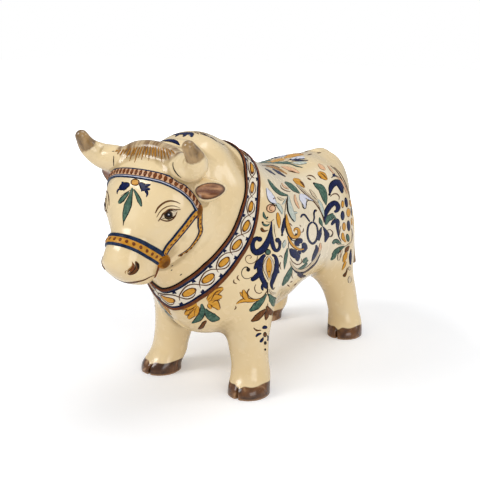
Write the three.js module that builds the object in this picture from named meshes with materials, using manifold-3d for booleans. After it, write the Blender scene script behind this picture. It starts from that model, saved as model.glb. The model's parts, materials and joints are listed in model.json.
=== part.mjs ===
// Glazed earthenware bull: a hollow pressed body in two halves and a hollow head, with the horns, ears, legs,
// hooves, tail, forelock, halter and collar luted on.
// Millimetres, +Z up, the muzzle towards -Y and the bull's own left side towards +X.
import * as THREE from "three";
import { mergeVertices } from "three/addons/utils/BufferGeometryUtils.js";
import Module from "manifold-3d";

const wasm = await Module();
wasm.setup();

// Driving dimensions
const WALL = 6; // thickness of the pressed clay wall
const GAP = 0.3; // slip joint between two pieces
const HOOF_TOP = 10; // height of the hooves
const CLEFT = 1.6; // width of the cleft in a hoof's toe
const STRAP = 1.5; // how far a halter strap stands off the head
const CORD = 2; // how far a collar cord stands off the neck
const BAND = 1; // how far the collar's flat band stands off the neck
const VENT = 10; // bore of the firing vent in the belly
const NECK_HOLE = 26; // bore between the body and the head
const LEG_HOLE = 9; // bore between the body and each hollow leg
const EYE = 7; // radius of an eyeball
const POLL = [0, -125, 178]; // where the head's axis starts, between the horns
const HEAD_TILT = 57.6; // how far the face looks up from level, in degrees

// A limb is a row of oval rings. Each ring has its centre, how far its top leans forward in degrees,
// its half width, and how far it reaches above and below its centre. Caps round its two ends off.
// The higher its power is, the squarer a ring is. The trunk gives one for each half, keel below and ridge above.
const TRUNK = {
  caps: [12, 12],
  rings: [
    { at: [0, 98, 104], lean: 0, half: 31, up: 51.8, down: 46, keel: 2.2, ridge: 2.5 },
    { at: [0, 80, 104], lean: 0, half: 42, up: 51, down: 47, keel: 2.2, ridge: 2.1 },
    { at: [0, 58, 103], lean: 0, half: 45.6, up: 53.2, down: 49.3, keel: 2.2, ridge: 2.2 },
    { at: [0, 20, 102], lean: 0, half: 47, up: 53.2, down: 52.2, keel: 2.2, ridge: 2.15 },
    { at: [0, -10, 103], lean: 0, half: 50.4, up: 56.1, down: 60, keel: 2.2, ridge: 2.2 },
    { at: [0, -36, 106], lean: 0, half: 53, up: 63.2, down: 66, keel: 2.2, ridge: 2.2 },
    { at: [0, -60, 110], lean: 0.5, half: 53.7, up: 72.8, down: 72.7, keel: 2.1, ridge: 2.05 },
    { at: [0, -80, 118], lean: -8, half: 50.4, up: 71.2, down: 74, keel: 1.9, ridge: 1.75 },
    { at: [0, -98, 129], lean: -12, half: 43.3, up: 63.5, down: 61, keel: 1.7, ridge: 2.15 },
    { at: [0, -116, 141], lean: -19, half: 36.6, up: 49, down: 42, keel: 1.6, ridge: 2.3 },
  ],
};
const HEAD = {
  power: 2.3,
  caps: [5, 10.3],
  rings: [
    { at: [0, -110.5, 174.7], lean: 57.6, half: 29, up: 25, down: 22 },
    { at: [0, -115.9, 166.3], lean: 57.6, half: 32, up: 24, down: 30 },
    { at: [0, -120.7, 158.7], lean: 57.6, half: 34, up: 26, down: 32 },
    { at: [0, -125.4, 147.5], lean: 57.6, half: 37.3, up: 27.5, down: 32 },
    { at: [0, -131.9, 137.3], lean: 57.6, half: 34.4, up: 24.8, down: 32 },
    { at: [0, -137.2, 128.9], lean: 57.6, half: 27.2, up: 23, down: 28 },
    { at: [0, -142, 121.9], lean: 57.6, half: 20.4, up: 21.5, down: 22 },
    { at: [0, -149.5, 115.1], lean: 57.6, half: 17.3, up: 20.9, down: 18 },
    { at: [0, -155.7, 107.5], lean: 57.6, half: 16.8, up: 18.6, down: 17.6 },
  ],
};
const FRONT_LEG = {
  power: 2.1,
  caps: [14, 0],
  rings: [
    { at: [27, -66, 92], lean: 90, half: 15, up: 22, down: 25 },
    { at: [30.3, -66, 75], lean: 90, half: 18.2, up: 23, down: 26 },
    { at: [32.7, -63.2, 55], lean: 90, half: 17.3, up: 18.5, down: 20.4 },
    { at: [34.3, -65.1, 38], lean: 90, half: 15.2, up: 15, down: 16 },
    { at: [37.3, -67.4, 22], lean: 90, half: 13.6, up: 12.9, down: 15.3 },
    { at: [39.2, -69.6, 13], lean: 90, half: 14.1, up: 14, down: 16.9 },
    { at: [41.3, -73.8, 5], lean: 90, half: 15, up: 15.6, down: 16 },
    { at: [41.3, -73.8, 0], lean: 90, half: 15.6, up: 16.9, down: 15.8 },
  ],
};
const REAR_LEG = {
  power: 2.1,
  caps: [14, 0],
  rings: [
    { at: [24, 74, 99], lean: 90, half: 12, up: 24, down: 20 },
    { at: [26.8, 74, 80], lean: 90, half: 17.6, up: 27.9, down: 23 },
    { at: [27.7, 76.8, 56], lean: 90, half: 16.9, up: 22.6, down: 17.6 },
    { at: [32.1, 81.2, 38], lean: 90, half: 14.2, up: 15.9, down: 14 },
    { at: [35.7, 82, 22], lean: 90, half: 13, up: 13.4, down: 13.5 },
    { at: [38, 80.6, 13], lean: 90, half: 14.3, up: 13.4, down: 14.4 },
    { at: [40.8, 76.2, 5], lean: 90, half: 14.7, up: 14.6, down: 15.2 },
    { at: [40.8, 76.2, 0], lean: 90, half: 15, up: 15.7, down: 15.4 },
  ],
};
const HORN = {
  path: [
    [18, -127, 173],
    [29.9, -130.6, 174.5],
    [40.3, -134.5, 177],
    [45.5, -141.1, 183],
    [45.4, -147.6, 191.4],
  ],
  radii: [8.7, 9.7, 8.6, 6.5, 4.4],
};
const TAIL = {
  path: [
    [0, 92, 152],
    [2, 103, 150],
    [9, 109, 140],
    [19, 109, 120],
    [27.6, 105, 95.5],
    [30, 100.3, 74.3],
    [34.8, 101, 59.5],
  ],
  radii: [5, 5.5, 5, 4.2, 4, 5.3, 2.2],
};

const FORELOCK = {
  path: [
    [-25, -131, 179],
    [-14, -130, 183],
    [0, -129.5, 184.6],
    [14, -130, 183],
    [25, -131, 179],
  ],
  radii: [3.5, 4.8, 5.2, 4.8, 3.5],
};
const FRINGE = 1.2; // how far the hair below the forelock stands off the brow
const EYE_PLACE = [21.5, -141.5, 144.5];
const NOSTRIL = { halfSizes: [2, 2.6, 4], place: [12.8, -167.2, 112.5], facing: [0.7, -0.7, 0.2] };
const EAR = { place: [40, -122.5, 159.8], dish: [48.1, -126, 159.6], facing: [0.96, 0.217, 0.18] };

// Lines on the head's side: each point is how far down the face it lies, and how far out from the head's axis
const MOUTH_LINE = [
  [90, -2],
  [85, -9],
  [80, -18],
  [74, -26],
];
const BROW_LINE = [
  [17.5, 22],
  [17.8, 9],
  [19.8, 1.5],
  [22.6, -5.4],
  [25.8, -10.9],
  [27.1, -15],
];
const NOSE_LINE = [
  [62.5, 20],
  [62.5, 8],
  [63, 2.4],
  [63.8, -5],
  [64, -13.6],
  [64.1, -19],
];
const CHEEK_LINE = [
  [28, -14.5],
  [33, -12.5],
  [40.7, -12.5],
  [50.8, -15.5],
  [58, -18],
  [64, -20],
];
const CHIN_LINE = [
  [64, -20],
  [69, -22.5],
  [75, -26],
];
// The throat strap's line in the side view, as [y, z]
const THROAT_LINE = [
  [-126.5, 145],
  [-125.2, 136.8],
  [-123.2, 132],
  [-123.2, 127.8],
  [-124, 123.5],
  [-125.3, 118.6],
  [-129, 113.5],
];
const MOUTH_WIDTH = 1.2;
const BROW_WIDTH = 7;
const NOSE_WIDTH = 8;
const CHEEK_WIDTH = 5.5;
const CHIN_WIDTH = 4;
const THROAT_WIDTH = 4.5;
const UPPER_STUD = { halfSizes: [2.6, 4.8, 5], place: [35.2, -127.5, 146.4], facing: [0.93, -0.35, 0] };
const LOWER_STUD = { halfSizes: [2.6, 4.6, 4.6], place: [17.2, -140.6, 112], facing: [0.9, -0.3, -0.3] };

// The collar lies round the neck in a leaning plane, which its edges leave a little. Each row is an angle
// up from the side of the neck, then how far forward of the plane the front and the rear edge run.
const COLLAR_MIDDLE = new THREE.Vector3(0, -92.5, 136);
const COLLAR_FORWARD = new THREE.Vector3(0, -0.905, 0.426).normalize();
const COLLAR_UP = new THREE.Vector3(0, 0.426, 0.905).normalize();
const COLLAR_EDGES = [
  [-90, 4.2, -15.5],
  [-70, 6.3, -13.2],
  [-50, 6.2, -13.6],
  [-30, 4.3, -14],
  [-10, 1.6, -15.8],
  [10, -0.4, -17.4],
  [30, -4.6, -18],
  [50, -8, -20.4],
  [70, -9.6, -23],
  [90, -12, -26.5],
];
const CORD_WIDTH = 3.6;

// The smooth curve through a list of numbers at u, which runs from 0 to the last one
function between(list, u) {
  const i = Math.min(list.length - 2, Math.floor(u));
  const t = u - i;
  const b = list[i];
  const c = list[i + 1];
  const a = list[i - 1] ?? b;
  const d = list[i + 2] ?? c;
  const slopeB = (c - a) / 2;
  const slopeC = (d - b) / 2;
  const t2 = t * t;
  const t3 = t2 * t;
  const places = (2 * t3 - 3 * t2 + 1) * b + (3 * t2 - 2 * t3) * c;
  return places + (t3 - 2 * t2 + t) * slopeB + (t3 - t2) * slopeC;
}

// One ring of points: centre, side and up directions, half width, reach up and down
function ringPoints({ centre, side, up, half, high, low, power, keel = power, ridge = power }, sides) {
  const out = [];
  for (let j = 0; j < sides; j++) {
    const angle = (2 * Math.PI * (j + 0.5)) / sides;
    const c = Math.cos(angle);
    const s = Math.sin(angle);
    const square = 2 / (s > 0 ? ridge : keel);
    const across = Math.sign(c) * Math.abs(c) ** square * half;
    const along = Math.sign(s) * Math.abs(s) ** square * (s > 0 ? high : low);
    out.push(centre.clone().addScaledVector(side, across).addScaledVector(up, along));
  }
  return out;
}

// A closed solid through rings of points, each end filled with a fan
function skin(rings) {
  const sides = rings[0].length;
  const points = rings.flat();
  const index = [];
  for (let i = 0; i < rings.length - 1; i++)
    for (let j = 0; j < sides; j++) {
      const a = i * sides + j;
      const b = i * sides + ((j + 1) % sides);
      index.push(a, b, b + sides, a, b + sides, a + sides);
    }
  const last = (rings.length - 1) * sides;
  for (const [start, turn] of [
    [0, false],
    [last, true],
  ]) {
    const centre = new THREE.Vector3();
    for (let j = 0; j < sides; j++) centre.addScaledVector(points[start + j], 1 / sides);
    points.push(centre);
    for (let j = 0; j < sides; j++) {
      const a = start + j;
      const b = start + ((j + 1) % sides);
      if (turn) index.push(points.length - 1, a, b);
      else index.push(points.length - 1, b, a);
    }
  }
  const geometry = new THREE.BufferGeometry().setFromPoints(points);
  geometry.setIndex(index);
  return solid(geometry);
}

// A limb as a solid, its whole surface moved out by grow
function limb({ power, caps, rings }, { steps = 2, sides = 28, grow = 0, capSteps = 3 } = {}) {
  const field = (u) => {
    const get = (f) => between(rings.map(f), u);
    const lean = THREE.MathUtils.degToRad(get((r) => r.lean));
    return {
      centre: new THREE.Vector3(get((r) => r.at[0]), get((r) => r.at[1]), get((r) => r.at[2])),
      side: new THREE.Vector3(1, 0, 0),
      up: new THREE.Vector3(0, -Math.sin(lean), Math.cos(lean)),
      forward: new THREE.Vector3(0, -Math.cos(lean), -Math.sin(lean)),
      half: get((r) => r.half) + grow,
      high: get((r) => r.up) + grow,
      low: get((r) => r.down) + grow,
      power,
      keel: get((r) => r.keel ?? power),
      ridge: get((r) => r.ridge ?? power),
    };
  };
  const cap = (u, length, way) => {
    const out = [];
    for (let k = 1; k <= capSteps; k++) {
      const angle = ((Math.PI / 2) * (k - 0.12)) / capSteps;
      const r = field(u);
      r.centre.addScaledVector(r.forward, way * length * Math.sin(angle));
      for (const size of ["half", "high", "low"]) r[size] *= Math.cos(angle);
      out.push(ringPoints(r, sides));
    }
    return out;
  };
  const body = [];
  const count = (rings.length - 1) * steps;
  for (let i = 0; i <= count; i++) body.push(ringPoints(field(i / steps), sides));
  const head = caps[0] ? cap(0, caps[0] + grow, -1).reverse() : [];
  const foot = caps[1] ? cap(rings.length - 1, caps[1] + grow, 1) : [];
  return skin([...head, ...body, ...foot]);
}

// A round tube of changing thickness along a smooth path, round at both ends
function tube({ path, radii }, { steps = 14, sides = 14, grow = 0 } = {}) {
  const curve = new THREE.CatmullRomCurve3(path.map((p) => new THREE.Vector3(...p)));
  const frames = curve.computeFrenetFrames(steps);
  const rings = [];
  const ring = (i, reach, shrink) => {
    const u = i / steps;
    const r = (between(radii, u * (radii.length - 1)) + grow) * shrink;
    const centre = curve.getPoint(u).addScaledVector(frames.tangents[i], reach);
    return ringPoints(
      { centre, side: frames.normals[i], up: frames.binormals[i], half: r, high: r, low: r, power: 2 },
      sides,
    );
  };
  const ends = [0.93, 0.6, 0.3];
  const first = radii[0] + grow;
  const last = radii.at(-1) + grow;
  for (const e of ends) rings.push(ring(0, -first * e, Math.sqrt(1 - e * e)));
  for (let i = 0; i <= steps; i++) rings.push(ring(i, 0, 1));
  for (const e of [...ends].reverse()) rings.push(ring(steps, last * e, Math.sqrt(1 - e * e)));
  return skin(rings);
}

// three.js geometry as a solid that faces outwards
function solid(geometry) {
  const bare = geometry.clone();
  bare.deleteAttribute("normal");
  bare.deleteAttribute("uv");
  const merged = mergeVertices(bare, 1e-4);
  const triVerts = new Uint32Array(merged.index.array);
  const vertProperties = merged.attributes.position.array;
  const made = new wasm.Manifold(new wasm.Mesh({ numProp: 3, vertProperties, triVerts }));
  if (made.volume() >= 0) return made;
  for (let i = 0; i < triVerts.length; i += 3) {
    const second = triVerts[i + 1];
    triVerts[i + 1] = triVerts[i + 2];
    triVerts[i + 2] = second;
  }
  return new wasm.Manifold(new wasm.Mesh({ numProp: 3, vertProperties, triVerts }));
}

// The same solid on the bull's other side
function mirrored(shape) {
  return shape.mirror([1, 0, 0]);
}

function box(sizeX, sizeY, sizeZ, x, y, z) {
  return solid(new THREE.BoxGeometry(sizeX, sizeY, sizeZ).translate(x, y, z));
}

// Everything above a height
const above = (z) => box(200, 400, 200, 0, 0, z + 100);

// A bore from one point to another
function bore(diameter, from, to, sides = 20) {
  const a = new THREE.Vector3(...from);
  const b = new THREE.Vector3(...to);
  const geometry = new THREE.CylinderGeometry(diameter / 2, diameter / 2, a.distanceTo(b), sides);
  const turn = new THREE.Quaternion().setFromUnitVectors(
    new THREE.Vector3(0, 1, 0),
    b.clone().sub(a).normalize(),
  );
  geometry.applyQuaternion(turn).translate(...a.add(b).multiplyScalar(0.5).toArray());
  return solid(geometry);
}

const bull = new THREE.Group();
function add(name, shape, colour, roughness = 0.25) {
  const mesh = shape.getMesh();
  const geometry = new THREE.BufferGeometry();
  const position = new Float32Array(mesh.numVert * 3);
  for (let i = 0; i < mesh.numVert; i++)
    position.set(mesh.vertProperties.subarray(i * mesh.numProp, i * mesh.numProp + 3), i * 3);
  geometry.setAttribute("position", new THREE.BufferAttribute(position, 3));
  geometry.setIndex(new THREE.BufferAttribute(mesh.triVerts, 1));
  geometry.computeVertexNormals();
  const material = new THREE.MeshStandardMaterial({ color: colour, roughness, metalness: 0 });
  const made = new THREE.Mesh(geometry, material);
  made.name = name;
  bull.add(made);
}

// A point of the head: x sideways, along the face from the poll down, and out from the face
function onHead(x, along, out) {
  const tilt = THREE.MathUtils.degToRad(HEAD_TILT);
  return [
    x,
    POLL[1] - along * Math.cos(tilt) - out * Math.sin(tilt),
    POLL[2] - along * Math.sin(tilt) + out * Math.cos(tilt),
  ];
}

// The side view [y, z] of points that are given along the face and out from it
const sideView = (points) => points.map(([along, out]) => onHead(0, along, out).slice(1));

// A ribbon seen from the side, cut right through the bull. Its centre line is a list of [y, z].
function ribbon(line, width) {
  const curve = new THREE.SplineCurve(line.map((p) => new THREE.Vector2(...p)));
  const left = [];
  const right = [];
  const steps = line.length * 2;
  for (let i = 0; i <= steps; i++) {
    const p = curve.getPoint(i / steps);
    const t = curve.getTangent(i / steps);
    left.push(new THREE.Vector2(p.x - (t.y * width) / 2, p.y + (t.x * width) / 2));
    right.push(new THREE.Vector2(p.x + (t.y * width) / 2, p.y - (t.x * width) / 2));
  }
  return slab([...left, ...right.reverse()]);
}

// A flat outline in the side view, drawn out across the whole width
function slab(outline) {
  const width = 150;
  const geometry = new THREE.ExtrudeGeometry(new THREE.Shape(outline), { depth: width, bevelEnabled: false });
  // The outline's x becomes y, its y becomes z, and its depth becomes x
  const turn = new THREE.Matrix4().set(0, 0, 1, -width / 2, 1, 0, 0, 0, 0, 1, 0, 0, 0, 0, 0, 1);
  return solid(geometry.applyMatrix4(turn));
}

// A rounded lump, its own +X turned to face a direction, its whole surface moved out by grow
function lump({ halfSizes, place, facing }, grow = 0, detail = 12) {
  const geometry = new THREE.SphereGeometry(1, detail, Math.round(detail * 0.7));
  geometry.scale(...halfSizes.map((r) => r + grow));
  return faced(geometry, facing, place);
}

// Turns a shape that faces +X to face another way, and moves it
function faced(geometry, facing, centre) {
  const turn = new THREE.Quaternion().setFromUnitVectors(
    new THREE.Vector3(1, 0, 0),
    new THREE.Vector3(...facing).normalize(),
  );
  geometry.applyQuaternion(turn).translate(...centre);
  return solid(geometry);
}

const union = (list) => list.reduce((a, b) => a.add(b));
const without = (shape, list) => list.reduce((a, b) => a.subtract(b), shape);

// Glaze colours
const CREAM = 0xefd9ab;
const HOOF = 0x5c4427;
const BLUE = 0x2c3f73;
const BROWN = 0x6b3d22;
const OCHRE = 0xb9801f;
const HAIR = 0x8b6a45;
const PALE = 0xefe5cf;

// Outer surface that the luted pieces sit on, moved out by grow
const skinOfBody = (grow) => limb(TRUNK, { grow });
const skinOfHead = (grow) => limb(HEAD, { sides: 24, grow });
const seat = skinOfBody(GAP).add(skinOfHead(GAP));

// Body: two pressed halves that meet at the middle, with a vent, a neck hole and a hole over each hollow leg
function body() {
  const hollow = limb(TRUNK, { steps: 1, sides: 18, grow: -WALL });
  const holes = [
    bore(VENT, [0, 12, 30], [0, 12, 70]),
    bore(NECK_HOLE, [0, -100, 138], [0, -140, 138]),
    ...[
      [30, -66],
      [-30, -66],
      [29, 78],
      [-29, 78],
    ].map(([x, y]) => bore(LEG_HOLE, [x, y, 40], [x, y, 88], 12)),
  ];
  const shell = without(skinOfBody(0).subtract(hollow), holes);
  const half = (side) => shell.intersect(box(100, 400, 400, side * (50 + GAP / 2), 0, 100));
  add("body_left", half(1), CREAM);
  add("body_right", half(-1), CREAM);
}

// Head: hollow and open to the neck, with eyeballs, nostrils and a mouth line
function headPiece() {
  const eye = solid(new THREE.SphereGeometry(EYE, 16, 11).translate(...EYE_PLACE));
  const nostril = lump(NOSTRIL, 0, 10);
  const lips = ribbon(sideView(MOUTH_LINE), MOUTH_WIDTH).subtract(skinOfHead(-MOUTH_WIDTH));
  const outer = union([skinOfHead(0), eye, mirrored(eye)]);
  const hollow = limb(HEAD, { steps: 1, sides: 16, grow: -WALL });
  return without(outer, [hollow, nostril, mirrored(nostril), lips, skinOfBody(GAP)]);
}

// Legs: hollow tubes on solid hooves with a cleft at the toe
function leg(table) {
  const floorOfHollow = HOOF_TOP + 5;
  const hollow = limb(table, { steps: 1, sides: 12, grow: -WALL }).intersect(above(floorOfHollow));
  const outer = limb(table, { sides: 18 }).intersect(above(HOOF_TOP + GAP / 2));
  return without(outer, [hollow, skinOfBody(GAP)]);
}
function hoof(table) {
  const [x, y] = table.rings.at(-1).at;
  const front = table.rings.at(-1).up;
  const cleft = box(CLEFT, 7, 60, x, y - front, 0);
  return without(limb(table, { sides: 18 }), [above(HOOF_TOP - GAP / 2), cleft]);
}

// Ear: a leaf with a dished front
function ear() {
  const leaf = (length, depth, height, taper) => {
    const geometry = new THREE.SphereGeometry(1, 16, 10);
    geometry.rotateZ(Math.PI / 2);
    geometry.scale(length, depth, height);
    const p = geometry.attributes.position;
    for (let i = 0; i < p.count; i++) {
      const narrow = 1 - taper * Math.max(0, p.getX(i) / length);
      p.setY(i, p.getY(i) * narrow);
      p.setZ(i, p.getZ(i) * narrow);
    }
    return geometry.rotateX(0.35);
  };
  const shell = faced(leaf(15, 5, 9, 0.3), EAR.facing, EAR.place);
  const dish = faced(leaf(14.5, 5, 6.6, 0.1), EAR.facing, EAR.dish);
  return without(shell, [dish, seat, tube(HORN, { grow: GAP })]);
}

body();
add("head", headPiece(), CREAM);
const horn = without(tube(HORN), [seat]);
const hornRoom = tube(HORN, { grow: GAP });
add("horn_left", horn, CREAM);
add("horn_right", mirrored(horn), CREAM);
add("ear_left", ear(), CREAM);
add("ear_right", mirrored(ear()), CREAM);
const fringe = skinOfHead(GAP + FRINGE).intersect(box(46, 60, 60, 0, -120, 204));
add("forelock", without(tube(FORELOCK).add(fringe), [seat, hornRoom, mirrored(hornRoom)]), HAIR);

for (const [place, table] of [
  ["front", FRONT_LEG],
  ["rear", REAR_LEG],
]) {
  add("leg_" + place + "_left", leg(table), CREAM);
  add("leg_" + place + "_right", mirrored(leg(table)), CREAM);
  add("hoof_" + place + "_left", hoof(table), HOOF);
  add("hoof_" + place + "_right", mirrored(hoof(table)), HOOF);
}
add("tail", without(tube(TAIL), [skinOfBody(GAP), limb(REAR_LEG, { grow: GAP, sides: 18 })]), CREAM);

// Halter: flat straps with a round stud where they meet
const strapShell = skinOfBody(GAP + STRAP).add(skinOfHead(GAP + STRAP)).subtract(seat);
const leftSide = box(100, 400, 400, 52, 0, 100);
const studRooms = [UPPER_STUD, LOWER_STUD].map((stud) => lump(stud, GAP));
const bothRooms = [...studRooms, ...studRooms.map(mirrored)];
// A strap, or with a gap, the room that it needs
const strap = (line, width, gap = 0) => ribbon(line, width + 2 * gap);
const brow = (gap) => strap(sideView(BROW_LINE), BROW_WIDTH, gap);
const nose = (gap) => strap(sideView(NOSE_LINE), NOSE_WIDTH, gap);
const cheek = (gap) => strap(sideView(CHEEK_LINE), CHEEK_WIDTH, gap);
const chin = (gap) => strap(sideView(CHIN_LINE), CHIN_WIDTH, gap);
const throat = (gap) => strap(THROAT_LINE, THROAT_WIDTH, gap);
const onSkin = (ribbonOf, neighbours) => without(strapShell.intersect(ribbonOf(0)), neighbours);
const leftStrap = (ribbonOf, neighbours) =>
  onSkin(ribbonOf, [...studRooms, ...neighbours]).intersect(leftSide);
add("browband", onSkin(brow, [...bothRooms, hornRoom, mirrored(hornRoom)]), BROWN);
add("noseband", onSkin(nose, bothRooms), BLUE);
for (const [name, piece, colour] of [
  ["cheek_strap", leftStrap(cheek, [brow(GAP), nose(GAP)]), BLUE],
  ["throat_strap", leftStrap(throat, [brow(GAP), cheek(GAP)]), BLUE],
  ["chin_strap", leftStrap(chin, [nose(GAP), cheek(GAP)]), BLUE],
  ["upper_stud", without(lump(UPPER_STUD), [seat]), OCHRE],
  ["lower_stud", without(lump(LOWER_STUD), [seat]), OCHRE],
]) {
  add(name + "_left", piece, colour);
  add(name + "_right", mirrored(piece), colour);
}

// Collar: a flat band between two raised cords.
// This ring round the neck keeps what lies between two edges. Each edge is a mix of front (0) and rear (1),
// moved forward by a number of millimetres.
function collarCutter(from, to) {
  const turns = 36;
  const rings = [];
  for (let i = 0; i < turns; i++) {
    const angle = (2 * Math.PI * i) / turns;
    const rise = THREE.MathUtils.radToDeg(Math.asin(Math.sin(angle)));
    const u = ((rise + 90) / 180) * (COLLAR_EDGES.length - 1);
    const edge = ([which, forward]) => between(COLLAR_EDGES.map((row) => row[1 + which]), u) + forward;
    const out = new THREE.Vector3(Math.cos(angle), 0, 0).addScaledVector(COLLAR_UP, Math.sin(angle));
    const point = (radius, forward) =>
      COLLAR_MIDDLE.clone().addScaledVector(out, radius).addScaledVector(COLLAR_FORWARD, forward);
    const [a, b] = [edge(from), edge(to)];
    rings.push([point(20, a), point(100, a), point(100, b), point(20, b)]);
  }
  return hoop(rings);
}

// A closed hoop through rings of points, the last joined to the first
function hoop(rings) {
  const sides = rings[0].length;
  const index = [];
  for (let i = 0; i < rings.length; i++)
    for (let j = 0; j < sides; j++) {
      const next = ((i + 1) % rings.length) * sides;
      const a = i * sides + j;
      const b = i * sides + ((j + 1) % sides);
      index.push(a, b, next + ((j + 1) % sides), a, next + ((j + 1) % sides), next + j);
    }
  const geometry = new THREE.BufferGeometry().setFromPoints(rings.flat());
  geometry.setIndex(index);
  return solid(geometry);
}

const neck = skinOfBody(GAP);
const bandStart = CORD_WIDTH + GAP;
const cords = skinOfBody(GAP + CORD).subtract(neck);
add("collar_front_cord", cords.intersect(collarCutter([0, 0], [0, -CORD_WIDTH])), BROWN);
add("collar_rear_cord", cords.intersect(collarCutter([1, CORD_WIDTH], [1, 0])), BROWN);
const flat = skinOfBody(GAP + BAND).intersect(collarCutter([0, 2], [1, -2]));
const cordRooms = [collarCutter([0, 4], [0, -bandStart]), collarCutter([1, bandStart], [1, -4])];
add("collar_band", without(flat, [neck, ...cordRooms]), PALE);

// The middle of the whole figure sits over the frame's origin
const extent = new THREE.Box3().setFromObject(bull);
bull.position.y = -(extent.min.y + extent.max.y) / 2;

export default bull;
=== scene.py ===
import json
import math

import bpy
import numpy as np
import openvdb as vdb
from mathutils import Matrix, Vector
from mathutils.bvhtree import BVHTree

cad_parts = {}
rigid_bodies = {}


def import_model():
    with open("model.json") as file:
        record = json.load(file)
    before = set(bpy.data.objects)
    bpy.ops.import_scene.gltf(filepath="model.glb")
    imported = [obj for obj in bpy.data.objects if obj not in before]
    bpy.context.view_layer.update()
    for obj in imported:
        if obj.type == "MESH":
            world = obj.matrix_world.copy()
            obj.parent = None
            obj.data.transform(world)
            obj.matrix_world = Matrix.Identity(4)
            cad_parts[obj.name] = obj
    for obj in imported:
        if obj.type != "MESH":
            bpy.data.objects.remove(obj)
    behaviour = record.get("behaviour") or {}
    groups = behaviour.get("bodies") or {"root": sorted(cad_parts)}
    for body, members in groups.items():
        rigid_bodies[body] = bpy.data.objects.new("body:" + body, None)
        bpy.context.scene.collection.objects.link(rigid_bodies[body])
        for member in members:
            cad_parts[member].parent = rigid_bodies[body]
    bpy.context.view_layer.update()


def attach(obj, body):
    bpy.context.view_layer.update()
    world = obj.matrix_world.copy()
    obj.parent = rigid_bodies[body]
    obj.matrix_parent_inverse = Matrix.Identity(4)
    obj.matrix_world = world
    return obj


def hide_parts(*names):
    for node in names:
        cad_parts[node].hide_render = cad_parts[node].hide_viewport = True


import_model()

# Lengths below are in millimetres, measured from the floor under the middle of the wheelbase.
# The muzzle points to -Y and the bull's own left is +X. MIDDLE moves that place into the frame.
MM = 0.001
MIDDLE = Vector((0, 28.874, 0))

# The photograph's camera
AZIMUTH = 34.4
ELEVATION = 14.3
CAMERA_PLACE = Vector((384, -586, 273))
FOCAL_PIXELS = 900
PICTURE = 480
SENSOR_MM = 36

# Each limb is a row of oval rings: its centre's x, y and z, how far its top leans forward in degrees, half
# width, reach up, reach down, and how square it is. The trunk's last number is for its upper half.
TRUNK = [
    (0, 98, 104, 0, 31, 51.8, 46, 2.2, 2.5),
    (0, 80, 104, 0, 42, 51, 47, 2.2, 2.1),
    (0, 58, 103, 0, 45.6, 53.2, 49.3, 2.2, 2.2),
    (0, 20, 102, 0, 47, 53.2, 52.2, 2.2, 2.15),
    (0, -10, 103, 0, 50.4, 56.1, 60, 2.2, 2.2),
    (0, -36, 106, 0, 53, 63.2, 66, 2.2, 2.2),
    (0, -60, 110, 0.5, 53.7, 72.8, 72.7, 2.1, 2.05),
    (0, -80, 118, -8, 50.4, 71.2, 74, 1.9, 1.75),
    (0, -98, 129, -12, 43.3, 63.5, 61, 1.7, 2.15),
    (0, -116, 141, -19, 36.6, 49, 42, 1.6, 2.3),
]
HEAD = [
    (0, -110.5, 174.7, 57.6, 29, 25, 22, 2.3),
    (0, -115.9, 166.3, 57.6, 32, 24, 30, 2.3),
    (0, -120.7, 158.7, 57.6, 34, 26, 32, 2.3),
    (0, -125.4, 147.5, 57.6, 37.3, 27.5, 32, 2.3),
    (0, -131.9, 137.3, 57.6, 34.4, 24.8, 32, 2.3),
    (0, -137.2, 128.9, 57.6, 27.2, 23, 28, 2.3),
    (0, -142, 121.9, 57.6, 20.4, 21.5, 22, 2.3),
    (0, -149.5, 115.1, 57.6, 17.3, 20.9, 18, 2.3),
    (0, -155.7, 107.5, 57.6, 16.8, 18.6, 17.6, 2.3),
]
FRONT_LEG = [
    (27, -66, 92, 90, 15, 22, 25, 2.1),
    (30.3, -66, 75, 90, 18.2, 23, 26, 2.1),
    (32.7, -63.2, 55, 90, 17.3, 18.5, 20.4, 2.1),
    (34.3, -65.1, 38, 90, 15.2, 15, 16, 2.1),
    (37.3, -67.4, 22, 90, 13.6, 12.9, 15.3, 2.1),
    (39.2, -69.6, 13, 90, 14.1, 14, 16.9, 2.1),
    (41.3, -73.8, 5, 90, 15, 15.6, 16, 2.1),
    (41.3, -73.8, -3, 90, 15.2, 16.5, 15.3, 2.1),
]
REAR_LEG = [
    (24, 74, 99, 90, 12, 24, 20, 2.1),
    (26.8, 74, 80, 90, 17.6, 27.9, 23, 2.1),
    (27.7, 76.8, 56, 90, 16.9, 22.6, 17.6, 2.1),
    (32.1, 81.2, 38, 90, 14.2, 15.9, 14, 2.1),
    (35.7, 82, 22, 90, 13, 13.4, 13.5, 2.1),
    (38, 80.6, 13, 90, 14.3, 13.4, 14.4, 2.1),
    (40.8, 76.2, 5, 90, 14.7, 14.6, 15.2, 2.1),
    (40.8, 76.2, -3, 90, 14.3, 15.4, 14.8, 2.1),
]
# A horn, the tail and the forelock are rows of balls: centre and radius.
HORN = [
    (18, -127, 173, 8.7),
    (29.9, -130.6, 174.5, 9.7),
    (40.3, -134.5, 177, 8.6),
    (45.5, -141.1, 183, 6.5),
    (45.4, -147.6, 191.2, 4.4),
]
TAIL = [
    (0, 92, 152, 5),
    (2, 103, 150, 5.5),
    (9, 109, 140, 5),
    (19, 109, 120, 4.2),
    (27.6, 105, 95.5, 4),
    (30, 100.3, 74.3, 5.3),
    (34.8, 101, 59.5, 2.2),
]
FORELOCK = [
    (-25, -131, 179, 3.5),
    (-14, -130, 183, 4.8),
    (0, -129.5, 184.6, 5.2),
    (14, -130, 183, 4.8),
    (25, -131, 179, 3.5),
]
CAPS = {"trunk": (12, 12), "head": (5, 9.2), "leg": (14, 0)}  # how far the rounded ends reach past the rows
HOOF_TOP = 10

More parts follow.
